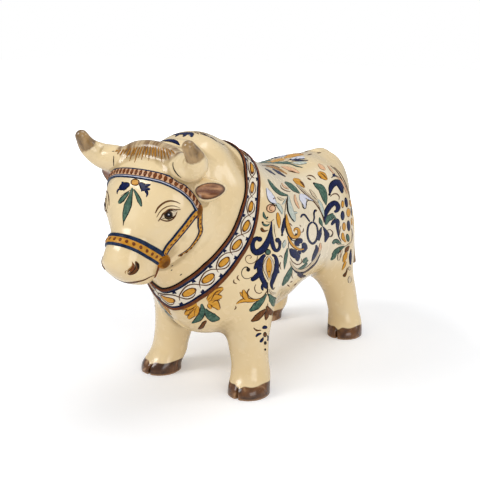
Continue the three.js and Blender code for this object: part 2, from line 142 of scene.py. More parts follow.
# The head's own directions: along the face from the poll down, and out from the face
POLL = np.array([0, -125, 178.0])
HEAD_TILT = math.radians(57.6)
ALONG = np.array([0, -math.cos(HEAD_TILT), -math.sin(HEAD_TILT)])
OUT = np.array([0, -math.sin(HEAD_TILT), math.cos(HEAD_TILT)])

# The space in which the forms flow together
VOXEL = 0.8
FAR = 60.0
SPACE_LOW = np.array([-62, -184, -6.0])
SPACE_HIGH = np.array([62, 122, 204.0])
SPACE = tuple(np.ceil((SPACE_HIGH - SPACE_LOW) / VOXEL).astype(int) + 1)


# Curves and closed skins

def between(rows, u):
    """The smooth curve through rows of numbers at each u, which runs from 0 to the last row."""
    rows = np.asarray(rows, float)
    u = np.atleast_1d(u)
    last = len(rows) - 1
    i = np.clip(np.floor(u).astype(int), 0, last - 1)
    t = (u - i)[:, None]
    b, c = rows[i], rows[i + 1]
    a, d = rows[np.maximum(i - 1, 0)], rows[np.minimum(i + 2, last)]
    a, d = np.where((i == 0)[:, None], b, a), np.where((i == last - 1)[:, None], c, d)
    t2, t3 = t * t, t * t * t
    places = (2 * t3 - 3 * t2 + 1) * b + (3 * t2 - 2 * t3) * c
    return places + (t3 - 2 * t2 + t) * (c - a) / 2 + (t3 - t2) * (d - b) / 2


def ring_mesh(rings):
    """Points, quads and triangles of a closed skin through rings of points."""
    count, sides = rings.shape[:2]
    ids = np.arange(count * sides).reshape(count, sides)
    turned = np.roll(ids, -1, axis=1)
    quads = np.stack([ids[:-1], turned[:-1], turned[1:], ids[1:]], -1).reshape(-1, 4)
    ends = np.stack([rings[0].mean(0), rings[-1].mean(0)])
    points = np.concatenate([rings.reshape(-1, 3), ends])
    start = np.stack([np.full(sides, count * sides), turned[0], ids[0]], -1)
    end = np.stack([np.full(sides, count * sides + 1), ids[-1], turned[-1]], -1)
    return points, quads, np.concatenate([start, end])


def limb(table, caps, sides=96, steps=8, cap_steps=10):
    """A row of oval rings as a closed skin, rounded at its ends."""

    def ring(u, shrink=1.0, push=0.0):
        x, y, z, lean, half, up, down, keel, *crest = between(table, u)[0]
        ridge = crest[0] if crest else keel
        tilt = math.radians(lean)
        up_way = np.array([0, -math.sin(tilt), math.cos(tilt)])
        forward = np.array([0, -math.cos(tilt), -math.sin(tilt)])
        angle = 2 * math.pi * (np.arange(sides) + 0.5) / sides
        c, s = np.cos(angle), np.sin(angle)
        bend = np.where(s > 0, 2 / ridge, 2 / keel)
        across = np.sign(c) * np.abs(c) ** bend * half * shrink
        along = np.sign(s) * np.abs(s) ** bend * np.where(s > 0, up, down) * shrink
        centre = np.array([x, y, z]) + forward * push
        return centre + across[:, None] * np.array([1, 0, 0]) + along[:, None] * up_way

    last = len(table) - 1
    cap = (np.arange(cap_steps) + 0.88) / cap_steps * math.pi / 2
    rings = [ring(0, math.cos(a), -caps[0] * math.sin(a)) for a in cap[::-1] if caps[0]]
    rings += [ring(i / steps) for i in range(last * steps + 1)]
    rings += [ring(last, math.cos(a), caps[1] * math.sin(a)) for a in cap if caps[1]]
    return ring_mesh(np.array(rings))


def rounded_tube(table, sides=48, steps=60, cap_steps=8):
    """A round tube of changing thickness along a smooth path."""
    rows = between(table, np.linspace(0, len(table) - 1, steps))
    centres, radii = rows[:, :3], rows[:, 3]
    tangents = np.gradient(centres, axis=0)
    tangents /= np.linalg.norm(tangents, axis=1)[:, None]
    side = np.cross(tangents[0], [0.3, 0.5, 0.8])
    rings = []
    angle = 2 * math.pi * np.arange(sides) / sides
    cap = (np.arange(cap_steps) + 0.9) / cap_steps * math.pi / 2
    plan = [(0, -math.sin(a), math.cos(a)) for a in cap[::-1]]
    plan += [(i, 0, 1) for i in range(steps)]
    plan += [(steps - 1, math.sin(a), math.cos(a)) for a in cap]
    for i, push, shrink in plan:
        side = side - tangents[i] * side.dot(tangents[i])
        side = side / np.linalg.norm(side)
        other = np.cross(tangents[i], side)
        centre = centres[i] + tangents[i] * push * radii[i]
        spread = np.cos(angle)[:, None] * side + np.sin(angle)[:, None] * other
        rings.append(centre + radii[i] * shrink * spread)
    return ring_mesh(np.array(rings))


def distance(mesh, band=13.0):
    """How far each cell of the space is outside a closed skin, in mm, and simply far beyond the band."""
    points, quads, triangles = mesh
    grid = vdb.FloatGrid.createLevelSetFromPolygons(
        points=(points - SPACE_LOW).astype(np.float32),
        quads=quads.astype(np.uint32),
        triangles=triangles.astype(np.uint32),
        transform=vdb.createLinearTransform(voxelSize=VOXEL),
        halfWidth=band / VOXEL,
    )
    values = np.empty(SPACE, np.float32)
    grid.copyToArray(values)
    return np.where(values > 0.99 * band, FAR, values)


# The forms and the skin that they flow into

def smooth_min(a, b, reach):
    """The nearer of two distances, rounded where they are alike, so that two forms flow together."""
    close = np.clip(reach - np.abs(a - b), 0, None) / reach
    return np.minimum(a, b) - close * close * reach / 4


def flipped(field):
    """The same field on the bull's other side."""
    return field[::-1]


CELL_EDGES = [SPACE_LOW[i] + VOXEL * np.arange(SPACE[i], dtype=np.float32) for i in range(3)]
CELL_X, CELL_Y, CELL_Z = np.meshgrid(*CELL_EDGES, indexing="ij", sparse=True)


def ball(place, radius):
    """The distance field of a ball."""
    x, y, z = place
    return np.sqrt((CELL_X - x) ** 2 + (CELL_Y - y) ** 2 + (CELL_Z - z) ** 2) - radius


def leaf_mesh(place, facing, half_sizes, narrowing, roll=0.35, sides=64, steps=40):
    """A leaf: an oval lump that narrows towards its tip, its length turned to face a direction."""
    turn = Vector((1, 0, 0)).rotation_difference(Vector(facing)).to_matrix()
    length, depth, height = half_sizes
    angle = 2 * math.pi * np.arange(sides) / sides
    rings = []
    for a in np.linspace(0.02, math.pi - 0.02, steps):
        x = -math.cos(a)
        narrow = math.sin(a) * (1 - narrowing * max(0, x))
        y = np.cos(angle) * depth * narrow
        z = np.sin(angle) * height * narrow
        rolled_y = y * math.cos(roll) - z * math.sin(roll)
        rolled_z = y * math.sin(roll) + z * math.cos(roll)
        rings.append(np.stack([np.full(sides, x * length), rolled_y, rolled_z], -1))
    points, quads, triangles = ring_mesh(np.array(rings))
    return points @ np.array(turn).T + np.array(place), quads, triangles


EAR_PLACE, EAR_HALF_SIZES, EAR_NARROWING = (40, -122.5, 159.8), (15, 5, 9), 0.3
DISH_PLACE, DISH_HALF_SIZES, DISH_NARROWING = (48.1, -126, 159.6), (14.5, 5, 6.6), 0.1
EAR_FACING = (0.96, 0.217, 0.18)
EYE_PLACE = (21.5, -141.5, 144.5)
EYE_RADIUS = 7
VENT_PLACE = (0, 12)
VENT_RADIUS = 5
VENT_TOP = 58
CLEFT_HALF = 1.3
CLEFT_DEPTH = 4.5
CLEFT_LEAN = 0.12


def all_forms():
    """Each form's distance field. The bull is alike on both sides but for its tail."""
    front, rear = (distance(limb(t, CAPS["leg"])) for t in (FRONT_LEG, REAR_LEG))
    horn = distance(rounded_tube(HORN))
    whole_ear = distance(leaf_mesh(EAR_PLACE, EAR_FACING, EAR_HALF_SIZES, EAR_NARROWING))
    dish = distance(leaf_mesh(DISH_PLACE, EAR_FACING, DISH_HALF_SIZES, DISH_NARROWING))
    ear = -smooth_min(-whole_ear, dish, 1.0)
    forms = {
        "body": distance(limb(TRUNK, CAPS["trunk"])),
        "head": distance(limb(HEAD, CAPS["head"])),
        "leg_front_left": front,
        "leg_front_right": flipped(front),
        "leg_rear_left": rear,
        "leg_rear_right": flipped(rear),
        "horn_left": horn,
        "horn_right": flipped(horn),
        "ear_left": ear,
        "ear_right": flipped(ear),
        "tail": distance(rounded_tube(TAIL)),
        "forelock": distance(rounded_tube(FORELOCK)),
        "whole_ear": whole_ear,
    }
    eye = ball(EYE_PLACE, EYE_RADIUS)
    forms["head"] = smooth_min(smooth_min(forms["head"], eye, 4), flipped(eye), 4)
    return forms


# How far each form flows into the ones before it
FLOW = {"head": 9, "leg_front_left": 10, "leg_front_right": 10, "leg_rear_left": 12, "leg_rear_right": 12,
        "horn_left": 5, "horn_right": 5, "ear_left": 2.5, "ear_right": 2.5, "tail": 3.5, "forelock": 2.5}


def one_skin(forms):
    """The forms flowed into one skin, with the soles flat, the toes cloven and the vent bored."""
    skin = forms["body"]
    for name, reach in FLOW.items():
        skin = smooth_min(skin, forms[name], reach)
    skin = np.maximum(skin, -CELL_Z)
    for table in (FRONT_LEG, REAR_LEG):
        x, y, toe = table[-1][0], table[-1][1], table[-1][5]
        depth = (CELL_Y - (y - toe)) / CLEFT_DEPTH
        wall = np.abs(np.abs(CELL_X) - x + CLEFT_LEAN * CELL_Z) - CLEFT_HALF * (1 - depth)
        groove = np.maximum(wall, CELL_Z - HOOF_TOP)
        skin = np.where(np.abs(depth) < 1, np.maximum(skin, -groove), skin)
    bore = np.hypot(CELL_X - VENT_PLACE[0], CELL_Y - VENT_PLACE[1]) - VENT_RADIUS
    return np.maximum(skin, -np.maximum(bore, CELL_Z - VENT_TOP))


def polygons(field):
    """Points and quads of the surface where a field is zero."""
    grid = vdb.FloatGrid(3.0)
    grid.transform = vdb.createLinearTransform(voxelSize=VOXEL)
    grid.copyFromArray(np.clip(field, -3, 3).astype(np.float32))
    points, quads = grid.convertToQuads(0.0)
    return points + SPACE_LOW, quads


def relaxed(points, quads, rounds=3):
    """Evens out the cells' ripple without shrinking the form."""
    ends = np.concatenate([quads, np.roll(quads, -1, axis=1)])
    starts = np.concatenate([np.roll(quads, -1, axis=1), quads])
    a, b = starts.ravel(), ends.ravel()
    count = np.bincount(a, minlength=len(points))[:, None]
    for weight in [0.55, -0.57] * rounds:
        near = np.stack([np.bincount(a, points[b, i], len(points)) for i in range(3)], -1) / count
        points = points + weight * (near - points)
    return points


def normals_of(points, quads):
    """Each point's way out, from the cells round it."""
    p = points[quads]
    face = np.cross(p[:, 2] - p[:, 0], p[:, 3] - p[:, 1])
    out = np.stack([np.bincount(quads.ravel(), np.repeat(face[:, i], 4), len(points)) for i in range(3)], -1)
    return out / np.maximum(np.linalg.norm(out, axis=1), 1e-9)[:, None]


def sample(field, points):
    """A field's value at each point, between its cells."""
    at = np.clip((points - SPACE_LOW) / VOXEL, 0, np.array(SPACE) - 1.001)
    low = at.astype(int)
    t = at - low
    total = np.zeros(len(points))
    for corner in range(8):
        step = np.array([corner & 1, corner >> 1 & 1, corner >> 2 & 1])
        weight = np.prod(np.where(step, t, 1 - t), axis=1)
        x, y, z = (low + step).T
        total += weight * field[x, y, z]
    return total


forms = all_forms()
skin_points, skin_quads = polygons(one_skin(forms))
skin_points = relaxed(skin_points, skin_quads)
skin_points[:, 2] = np.where(skin_points[:, 2] < VOXEL * 0.6, 0, skin_points[:, 2])
skin_normals = normals_of(skin_points, skin_quads)
centres = skin_points[skin_quads].mean(1)
form_names = ["body", *FLOW]
nearest = np.argmin([sample(forms[n], centres) for n in form_names], axis=0)


# Meshes in the frame, and how thick the wall of each visible piece of the skin is
WALL = {"body": 3, "head": 3, "leg": 2.5, "hoof": 2.5, "horn": 1.5, "ear": 0.6, "tail": 1.2, "forelock": 1}


def placed(points):
    """Points in this script's millimetres as places in the frame, in metres."""
    return (np.asarray(points, float) + np.array(MIDDLE)) * MM


def make_mesh(name, points, faces, normals=None, marks=None, materials=(), material_ids=None):
    """A mesh object from points and faces, with smooth shading, its own normals and marks on its points."""
    mesh = bpy.data.meshes.new(name)
    mesh.from_pydata(placed(points).tolist(), [], [tuple(f) for f in faces])
    mesh.shade_smooth()
    for material in materials:
        mesh.materials.append(material)
    if material_ids is not None:
        mesh.polygons.foreach_set("material_index", np.asarray(material_ids, np.int32))
    for key, values in (marks or {}).items():
        mesh.attributes.new(key, "FLOAT", "POINT").data.foreach_set("value", np.asarray(values, np.float32))
    if normals is not None and len(normals) == len(points):
        mesh.normals_split_custom_set_from_vertices(np.asarray(normals).tolist())
    elif normals is not None:
        mesh.normals_split_custom_set(normals.tolist())
    mesh.update()
    made = bpy.data.objects.new(name, mesh)
    bpy.context.scene.collection.objects.link(made)
    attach(made, "root")
    return made


def shell(name, chosen, thickness, material):
    """A closed wall cut from the skin: the chosen cells, a copy of them further in, and a rim between."""
    quads = skin_quads[chosen]
    used, local = np.unique(quads, return_inverse=True)
    quads = local.reshape(-1, 4)
    outer, normals = skin_points[used], skin_normals[used]
    count = len(used)
    starts, ends = quads.ravel(), np.roll(quads, -1, axis=1).ravel()
    forward = starts.astype(np.int64) * count + ends
    rim = ~np.isin(forward, ends.astype(np.int64) * count + starts)
    a, b = starts[rim], ends[rim]
    rim_quads = np.stack([b, a, a + count, b + count], -1)
    faces = np.concatenate([quads, quads[:, ::-1] + count, rim_quads])
    points = np.concatenate([outer, outer - normals * thickness])
    p = points[rim_quads]
    flat = np.cross(p[:, 2] - p[:, 0], p[:, 3] - p[:, 1])
    flat /= np.maximum(np.linalg.norm(flat, axis=1), 1e-9)[:, None]
    corners = [normals[quads.ravel()], -normals[quads[:, ::-1].ravel()], np.repeat(flat, 4, axis=0)]
    marks = {key: np.tile(values[used], 2) for key, values in skin_marks.items()}
    return make_mesh(name, points, faces, np.concatenate(corners), marks, [material])


# Glazes

def srgb(red, green, blue):
    """A colour written as a screen shows it, from 0 to 255, as the linear colour that a shader takes."""
    channels = [c / 255 for c in (red, green, blue)]
    return tuple(c / 12.92 if c <= 0.04045 else ((c + 0.055) / 1.055) ** 2.4 for c in channels) + (1,)


CREAM = srgb(238, 214, 168)
CREAM_WARM = srgb(230, 202, 152)
CREAM_PALE = srgb(243, 227, 194)
FLANK = srgb(246, 234, 208)
KHAKI = srgb(176, 147, 96)
SPECK = srgb(96, 66, 40)
HOOF_DARK = srgb(60, 34, 14)
HOOF_BROWN = srgb(108, 68, 34)
HOOF_TAN = srgb(178, 138, 98)
HORN_GREY = srgb(168, 132, 82)
HORN_DARK = srgb(94, 62, 22)
EAR_RED = srgb(116, 64, 28)
EAR_PINK = srgb(206, 152, 106)
EAR_RIM = srgb(70, 38, 10)
HAIR = srgb(126, 92, 54)
HAIR_LIGHT = srgb(200, 174, 134)
COAT_ROUGHNESS = 0.1


class Recipe:
    """A material's nodes, made one call at a time."""

    def __init__(self, name):
        self.material = bpy.data.materials.new(name)
        self.material.use_nodes = True
        self.tree = self.material.node_tree
        self.shader = self.tree.nodes["Principled BSDF"]

    def node(self, kind, **inputs):
        """A new node with its settings and inputs, each a number, a colour or another node's output."""
        made = self.tree.nodes.new("ShaderNode" + kind)
        for key, value in inputs.items():
            if key in made.bl_rna.properties and key not in made.inputs:
                setattr(made, key, value)
            else:
                self.feed(made.inputs[key], value)
        return made

    def feed(self, socket, value):
        """Sets an input, or links it to another node's output."""
        if isinstance(value, bpy.types.NodeSocket):
            self.tree.links.new(value, socket)
        else:
            socket.default_value = value

    def place(self):
        """Where a point lies on the object, so that a pattern keeps its size on every piece."""
        return self.node("TexCoord").outputs["Object"]

    def noise(self, per_metre, detail, roughness=0.5, distortion=0.0):
        """Soft random values from 0 to 1 that lie fixed on the object."""
        made = self.node("TexNoise", Vector=self.place(), Scale=per_metre, Detail=detail, Roughness=roughness,
                         Distortion=distortion)
        return made.outputs["Fac"]

    def streaks(self, per_metre):
        """Noise drawn out along the directions in which it changes least."""
        made = self.node("Mapping", Vector=self.place(), Scale=per_metre)
        return self.node("TexNoise", Vector=made.outputs["Vector"], Scale=1.0, Detail=3.0).outputs["Fac"]

    def mark(self, name):
        """A value that the mesh carries on its points."""
        return self.node("Attribute", attribute_name=name).outputs["Fac"]

    def stretch(self, value, low, high, to_low=0.0, to_high=1.0):
        """A value between low and high, spread out between two others."""
        ends = {"From Min": low, "From Max": high, "To Min": to_low, "To Max": to_high}
        return self.node("MapRange", Value=value, **ends).outputs["Result"]

    def maths(self, kind, a, b):
        """The sum, product or other result of two values."""
        made = self.node("Math", operation=kind)
        self.feed(made.inputs[0], a)
        self.feed(made.inputs[1], b)
        return made.outputs[0]

    def mix(self, share, a, b):
        """A colour that goes from one to another with a share from 0 to 1."""
        made = self.node("Mix", data_type="RGBA")
        for key, value in (("Factor", share), ("A", a), ("B", b)):
            sockets = [s for s in made.inputs if s.name == key and s.enabled]
            self.feed(sockets[0], value)
        return [s for s in made.outputs if s.enabled][0]

    def finish(self, colour, roughness, bump, depth_mm, coat, gloss):
        """Joins the colour and roughness to the shader, with a glassy coat and a fine waviness."""
        self.feed(self.shader.inputs["Base Color"], colour)
        self.feed(self.shader.inputs["Roughness"], roughness)
        self.shader.inputs["Specular IOR Level"].default_value = gloss
        self.shader.inputs["Coat Weight"].default_value = coat
        self.shader.inputs["Coat Roughness"].default_value = COAT_ROUGHNESS
        wavy = self.node("Bump", Height=bump, Strength=1.0, Distance=depth_mm * MM)
        self.feed(self.shader.inputs["Normal"], wavy.outputs["Normal"])
        return self.material


def cream_glaze():
    """Tin glaze over buff clay: warm where it lies thin, painted shade in khaki where the skin folds inward,
    and a few iron specks.
    """
    r = Recipe("cream_glaze")
    colour = r.mix(r.stretch(r.noise(16, 2), 0.3, 0.7), CREAM, CREAM_WARM)
    colour = r.mix(r.stretch(r.noise(60, 3), 0.5, 0.8, 0, 0.3), colour, CREAM_PALE)
    colour = r.mix(r.stretch(r.mark("flank"), 0, 1, 0, 0.6), colour, FLANK)
    # Painted shade: khaki where the skin folds inward
    colour = r.mix(r.stretch(r.mark("crease_shade"), 0.15, 1.0, 0, 0.75), colour, KHAKI)
    cells = r.node("TexVoronoi", Vector=r.place(), Scale=85.0)
    near = r.stretch(cells.outputs["Distance"], 0.02, 0.035, 1, 0)
    few = r.stretch(r.node("SeparateColor", Color=cells.outputs["Color"]).outputs[0], 0.9, 0.92)
    colour = r.mix(r.maths("MULTIPLY", near, few), colour, SPECK)

    swirl = r.noise(60, 2, 0.5, 0.9)
    hoof = r.mix(r.stretch(swirl, 0.38, 0.56), HOOF_DARK, HOOF_BROWN)
    hoof = r.mix(r.stretch(swirl, 0.58, 0.7), hoof, HOOF_TAN)
    hoof = r.mix(r.stretch(r.mark("rim"), 0, 1), hoof, HOOF_TAN)
    colour = r.mix(r.stretch(r.mark("foot"), -0.3, 0.3), colour, hoof)

    grain = r.streaks((260, 110, 70))
    tip = r.mix(r.stretch(grain, 0.36, 0.62), HORN_DARK, HORN_GREY)
    reach = r.maths("ADD", r.mark("horn_tip"), r.stretch(grain, 0.3, 0.7, -1.6, 1.6))
    colour = r.mix(r.stretch(reach, -0.4, 1.2, 0, 0.9), colour, tip)

    ear = r.mix(r.stretch(r.streaks((50, 220, 380)), 0.38, 0.68), EAR_RED, EAR_PINK)
    ear = r.mix(r.stretch(r.mark("ear_inside"), 0.5, 1.8), EAR_RIM, ear)
    colour = r.mix(r.stretch(r.mark("ear_inside"), 0.2, 0.45), colour, ear)

    lock = r.mix(r.stretch(r.streaks((420, 40, 40)), 0.35, 0.65), HAIR, HAIR_LIGHT)
    colour = r.mix(r.stretch(r.mark("hair"), 0, 1), colour, lock)
    rough = r.stretch(r.noise(160, 3), 0.3, 0.7, 0.2, 0.3)
    return r.finish(colour, rough, r.noise(110, 2), depth_mm=0.2, coat=0.6, gloss=0.35)


HORN_TIP = np.array([45.4, -147.6, 193])
HORN_TIP_LENGTH = 13


def marks_of(points, normals, quads, forms):
    """What the glaze's zones are worked out from: each is in mm inside its zone, or 0 to 1."""
    x, y, z = np.abs(points[:, 0]), points[:, 1], points[:, 2]
    front = y < 0
    foot_x, foot_y = (np.where(front, FRONT_LEG[-1][i], REAR_LEG[-1][i]) for i in (0, 1))
    turn = np.arctan2(x - foot_x, -(y - foot_y))
    scallop = -0.4 + 0.5 * np.cos(4 * turn) - 2.4 * np.exp(-((turn / 0.22) ** 2))
    foot = HOOF_TOP + scallop - z
    tip = np.linalg.norm(np.stack([x, y, z], -1) - HORN_TIP, axis=1)
    whole_ear = sample(forms["whole_ear"], np.stack([x, y, z], -1))
    # How far the skin folds inward round each point, for the painted shade in its hollows
    ends = np.roll(quads, -1, axis=1)
    lift = ((points[ends] - points[quads]) * normals[quads]).sum(-1)
    spread = np.bincount(quads.ravel(), lift.ravel(), len(points))
    for _ in range(12):
        total = np.bincount(quads.ravel(), spread[ends].ravel(), len(points))
        spread = 0.5 * spread + 0.5 * total / 4
    forelock = np.clip(1.5 - sample(forms["forelock"], points) / 1.5, 0, 1) * (x < 27)
    tuft = np.clip(1.6 - sample(forms["tail"], points), 0, 1) * np.clip((82 - z) / 5, 0, 1)
    return {
        "foot": foot,
        "rim": np.clip(1 - z / 1.6, 0, 1),
        "flank": np.clip(np.min([(y + 64) / 14, (72 - y) / 14, (z - 62) / 14, (x - 22) / 8], axis=0), 0, 1),
        "horn_tip": HORN_TIP_LENGTH - tip,
        "ear_inside": np.where(x > 34, -whole_ear, -5),
        # Painted shade where the skin folds inward
        "crease_shade": np.clip(spread / 0.035, 0, 1),
        "hair": np.maximum(forelock, tuft),
    }


skin_marks = marks_of(skin_points, skin_normals, skin_quads, forms)


def skin_pieces():
    """The skin cut where one form meets the next, each piece in place of its node."""
    material = cream_glaze()
    for number, name in enumerate(form_names):
        own = nearest == number
        if name == "body":
            cuts = {"body_left": own & (centres[:, 0] >= 0), "body_right": own & (centres[:, 0] < 0)}
        elif name.startswith("leg"):
            low = centres[:, 2] < HOOF_TOP
            cuts = {name: own & ~low, name.replace("leg", "hoof"): own & low}
        else:
            cuts = {name: own}
        for node, chosen in cuts.items():
            kind = node.split("_")[0]
            piece = shell("glazed_" + node, chosen, WALL[kind], material)
            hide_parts(node)


skin_pieces()


# Pigments, and the colours that several of them share
INK = srgb(16, 14, 18)
UMBER = srgb(84, 46, 20)
UMBER_LIGHT = srgb(124, 78, 40)
UMBER_DARK = srgb(34, 18, 10)
MIDNIGHT = srgb(4, 8, 30)
PALE_BLUE = srgb(112, 126, 176)
TEAL = srgb(40, 74, 64)
TEAL_DARK = srgb(14, 38, 36)
GOLD_LIGHT = srgb(206, 140, 40)
RIBBON_SHADE = srgb(224, 214, 200)
OLIVE = srgb(78, 58, 26)
LINE_WIDTH = 0.75


def pigment(name, wash, light, dark, line, line_width=LINE_WIDTH):
    """A brushed colour: a wash that pools darker at its edge, with a fine outline where it has one."""
    r = Recipe(name)
    streak = r.noise(420, 3, 0.6, 0.4)
    colour = r.mix(r.stretch(streak, 0.3, 0.7), wash, light)
    reach = r.maths("ADD", r.mark("edge"), r.stretch(r.noise(300, 2), 0, 1, -0.3, 0.3))
    colour = r.mix(r.stretch(reach, 0.25, 1.3, 0.75, 0), colour, dark)
    colour = r.mix(r.stretch(r.mark("tone"), 0, 1, 0, 0.6), colour, dark)
    wobble = r.maths("ADD", r.mark("edge"), r.stretch(r.noise(520, 2), 0, 1, -0.16, 0.16))
    drawn = r.maths("MULTIPLY", r.stretch(wobble, line_width, line_width + 0.12, 1, 0), r.mark("outlined"))
    colour = r.mix(drawn, colour, line)
    rough = r.stretch(streak, 0.3, 0.7, 0.2, 0.3)
    return r.finish(colour, rough, r.noise(260, 2), depth_mm=0.12, coat=0.06, gloss=0.08)


# Each pigment's wash, its thin, pooled and outline colours, and its outline's width in mm where it is its own
WASHES = {
    "blue": (srgb(6, 14, 50), srgb(18, 32, 82), MIDNIGHT, INK),
    "green": (TEAL, srgb(94, 122, 104), TEAL_DARK, INK),
    "ochre": (srgb(204, 138, 36), srgb(220, 164, 70), srgb(134, 78, 18), UMBER),
    "brown": (UMBER, UMBER_LIGHT, UMBER_DARK, UMBER_DARK),
    "pale": (srgb(206, 206, 220), srgb(230, 230, 236), PALE_BLUE, MIDNIGHT),
    "rose": (srgb(220, 162, 118), srgb(238, 200, 162), UMBER_LIGHT, UMBER),
    "gold": (srgb(176, 98, 14), GOLD_LIGHT, UMBER_DARK, UMBER),
    "navy": (srgb(10, 26, 52), srgb(40, 62, 96), INK, INK),
    "russet": (srgb(98, 48, 20), srgb(134, 76, 40), UMBER_DARK, UMBER_DARK, 0.1),
    "ribbon": (srgb(248, 234, 204), RIBBON_SHADE, RIBBON_SHADE, PALE_BLUE, 0.1),
    "line": (INK, UMBER_DARK, INK, INK),
    "mint": (srgb(164, 180, 170), srgb(216, 216, 204), TEAL, TEAL_DARK),
    "white": (srgb(228, 210, 180), srgb(196, 176, 146), KHAKI, UMBER_DARK),
    "iris": (OLIVE, OLIVE, UMBER_DARK, INK),
    "hair": (HAIR, GOLD_LIGHT, UMBER, UMBER, 0.2),
}
PIGMENTS = {name: pigment(f"{name}_glaze", *colours) for name, colours in WASHES.items()}

painted_forms = [i for i, name in enumerate(form_names) if name.startswith(("body", "head", "leg"))]
carries_paint = np.isin(nearest, painted_forms)


# Charts, which turn flat places into places on the skin

def canvas_of(quads):
    """Quads of the skin that rays can be cast on."""
    return quads, BVHTree.FromPolygons(skin_points.tolist(), quads.tolist())


CANVAS = canvas_of(skin_quads[carries_paint])
WHOLE_SKIN = canvas_of(skin_quads)
JUMP_MM = 10  # a ray that runs this much further than the one before has passed an edge


def cast(starts, directions, canvas=CANVAS):
    """Where rays meet the skin, with its smooth normals. A ray that misses it, or runs on past its edge to
    another part, takes the nearest place to where the last ray ended."""
    quads, tree = canvas
    shape = starts.shape
    starts = starts.reshape(-1, 3)
    directions = directions.reshape(-1, 3)
    directions = directions / np.linalg.norm(directions, axis=1)[:, None]
    places, cells = np.zeros(starts.shape), np.zeros(len(starts), int)
    reach, last = 600.0, 1e9
    for i, (start, direction) in enumerate(zip(starts.tolist(), directions.tolist())):
        place, _, cell, far = tree.ray_cast(start, direction)
        if place is None or far > last + JUMP_MM:
            place, _, cell, _ = tree.find_nearest(Vector(start) + reach * Vector(direction))
        else:
            reach = last = far
        places[i], cells[i] = place, cell
    corners = quads[cells]
    apart = ((skin_points[corners] - places[:, None]) ** 2).sum(-1) + 0.02
    normals = (skin_normals[corners] / apart[..., None]).sum(1)
    normals /= np.linalg.norm(normals, axis=1)[:, None]
    return places.reshape(shape), normals.reshape(shape)


def camera_axes():
    """The photograph's camera's right, up and backward directions."""
    a, e = math.radians(AZIMUTH), math.radians(ELEVATION)
    right = np.array([math.cos(a), math.sin(a), 0])
    back = np.array([math.sin(a) * math.cos(e), -math.cos(a) * math.cos(e), math.sin(e)])
    return right, np.cross(back, right), back


def on_photo(at, canvas=CANVAS):
    """Places given by the photograph's pixels, seen from its camera."""
    right, up, back = camera_axes()
    across, down = at[..., :1] - PICTURE / 2, at[..., 1:] - PICTURE / 2
    directions = right * across - up * down - back * FOCAL_PIXELS
    return cast(np.broadcast_to(np.array(CAMERA_PLACE), directions.shape), directions, canvas)


def on_photo_all(at):
    """Places given by the photograph's pixels, on horns, ears and hair as well."""
    return on_photo(at, WHOLE_SKIN)


def on_side(at):
    """Places given by y and z, seen from the bull's left."""
    starts = np.stack([np.full(at.shape[:-1], 120.0), at[..., 0], at[..., 1]], -1)
    return cast(starts, np.broadcast_to(np.array([-1.0, 0, 0]), starts.shape))


def on_top(at):
    """Places given by x and y, seen from above."""
    starts = np.stack([at[..., 0], at[..., 1], np.full(at.shape[:-1], 260.0)], -1)
    return cast(starts, np.broadcast_to(np.array([0, 0, -1.0]), starts.shape))


def curve(points, spacing):
    """A smooth line through points, at even steps, and how far along each step lies."""
    p = np.array(points, float)
    if len(p) > 2:
        ends = np.vstack([2 * p[0] - p[1], p, 2 * p[-1] - p[-2]])
        t = np.linspace(0, 1, 14, endpoint=False)[:, None]
        pieces = []
        for a, b, c, d in zip(ends, ends[1:], ends[2:], ends[3:]):
            pieces.append(0.5 * (2 * b + (c - a) * t + (2 * a - 5 * b + 4 * c - d) * t**2
                                 + (3 * b - a - 3 * c + d) * t**3))
        p = np.vstack([*pieces, ends[-2:-1]])
    far = np.concatenate([[0], np.cumsum(np.linalg.norm(np.diff(p, axis=0), axis=1))])
    steps = max(3, int(far[-1] / spacing) + 1)
    even = np.linspace(0, far[-1], steps)
    return np.stack([np.interp(even, far, p[:, i]) for i in range(2)], -1), even


# Brush strokes and other glaze that stands proud of the skin
SUNK_MM = 0.5


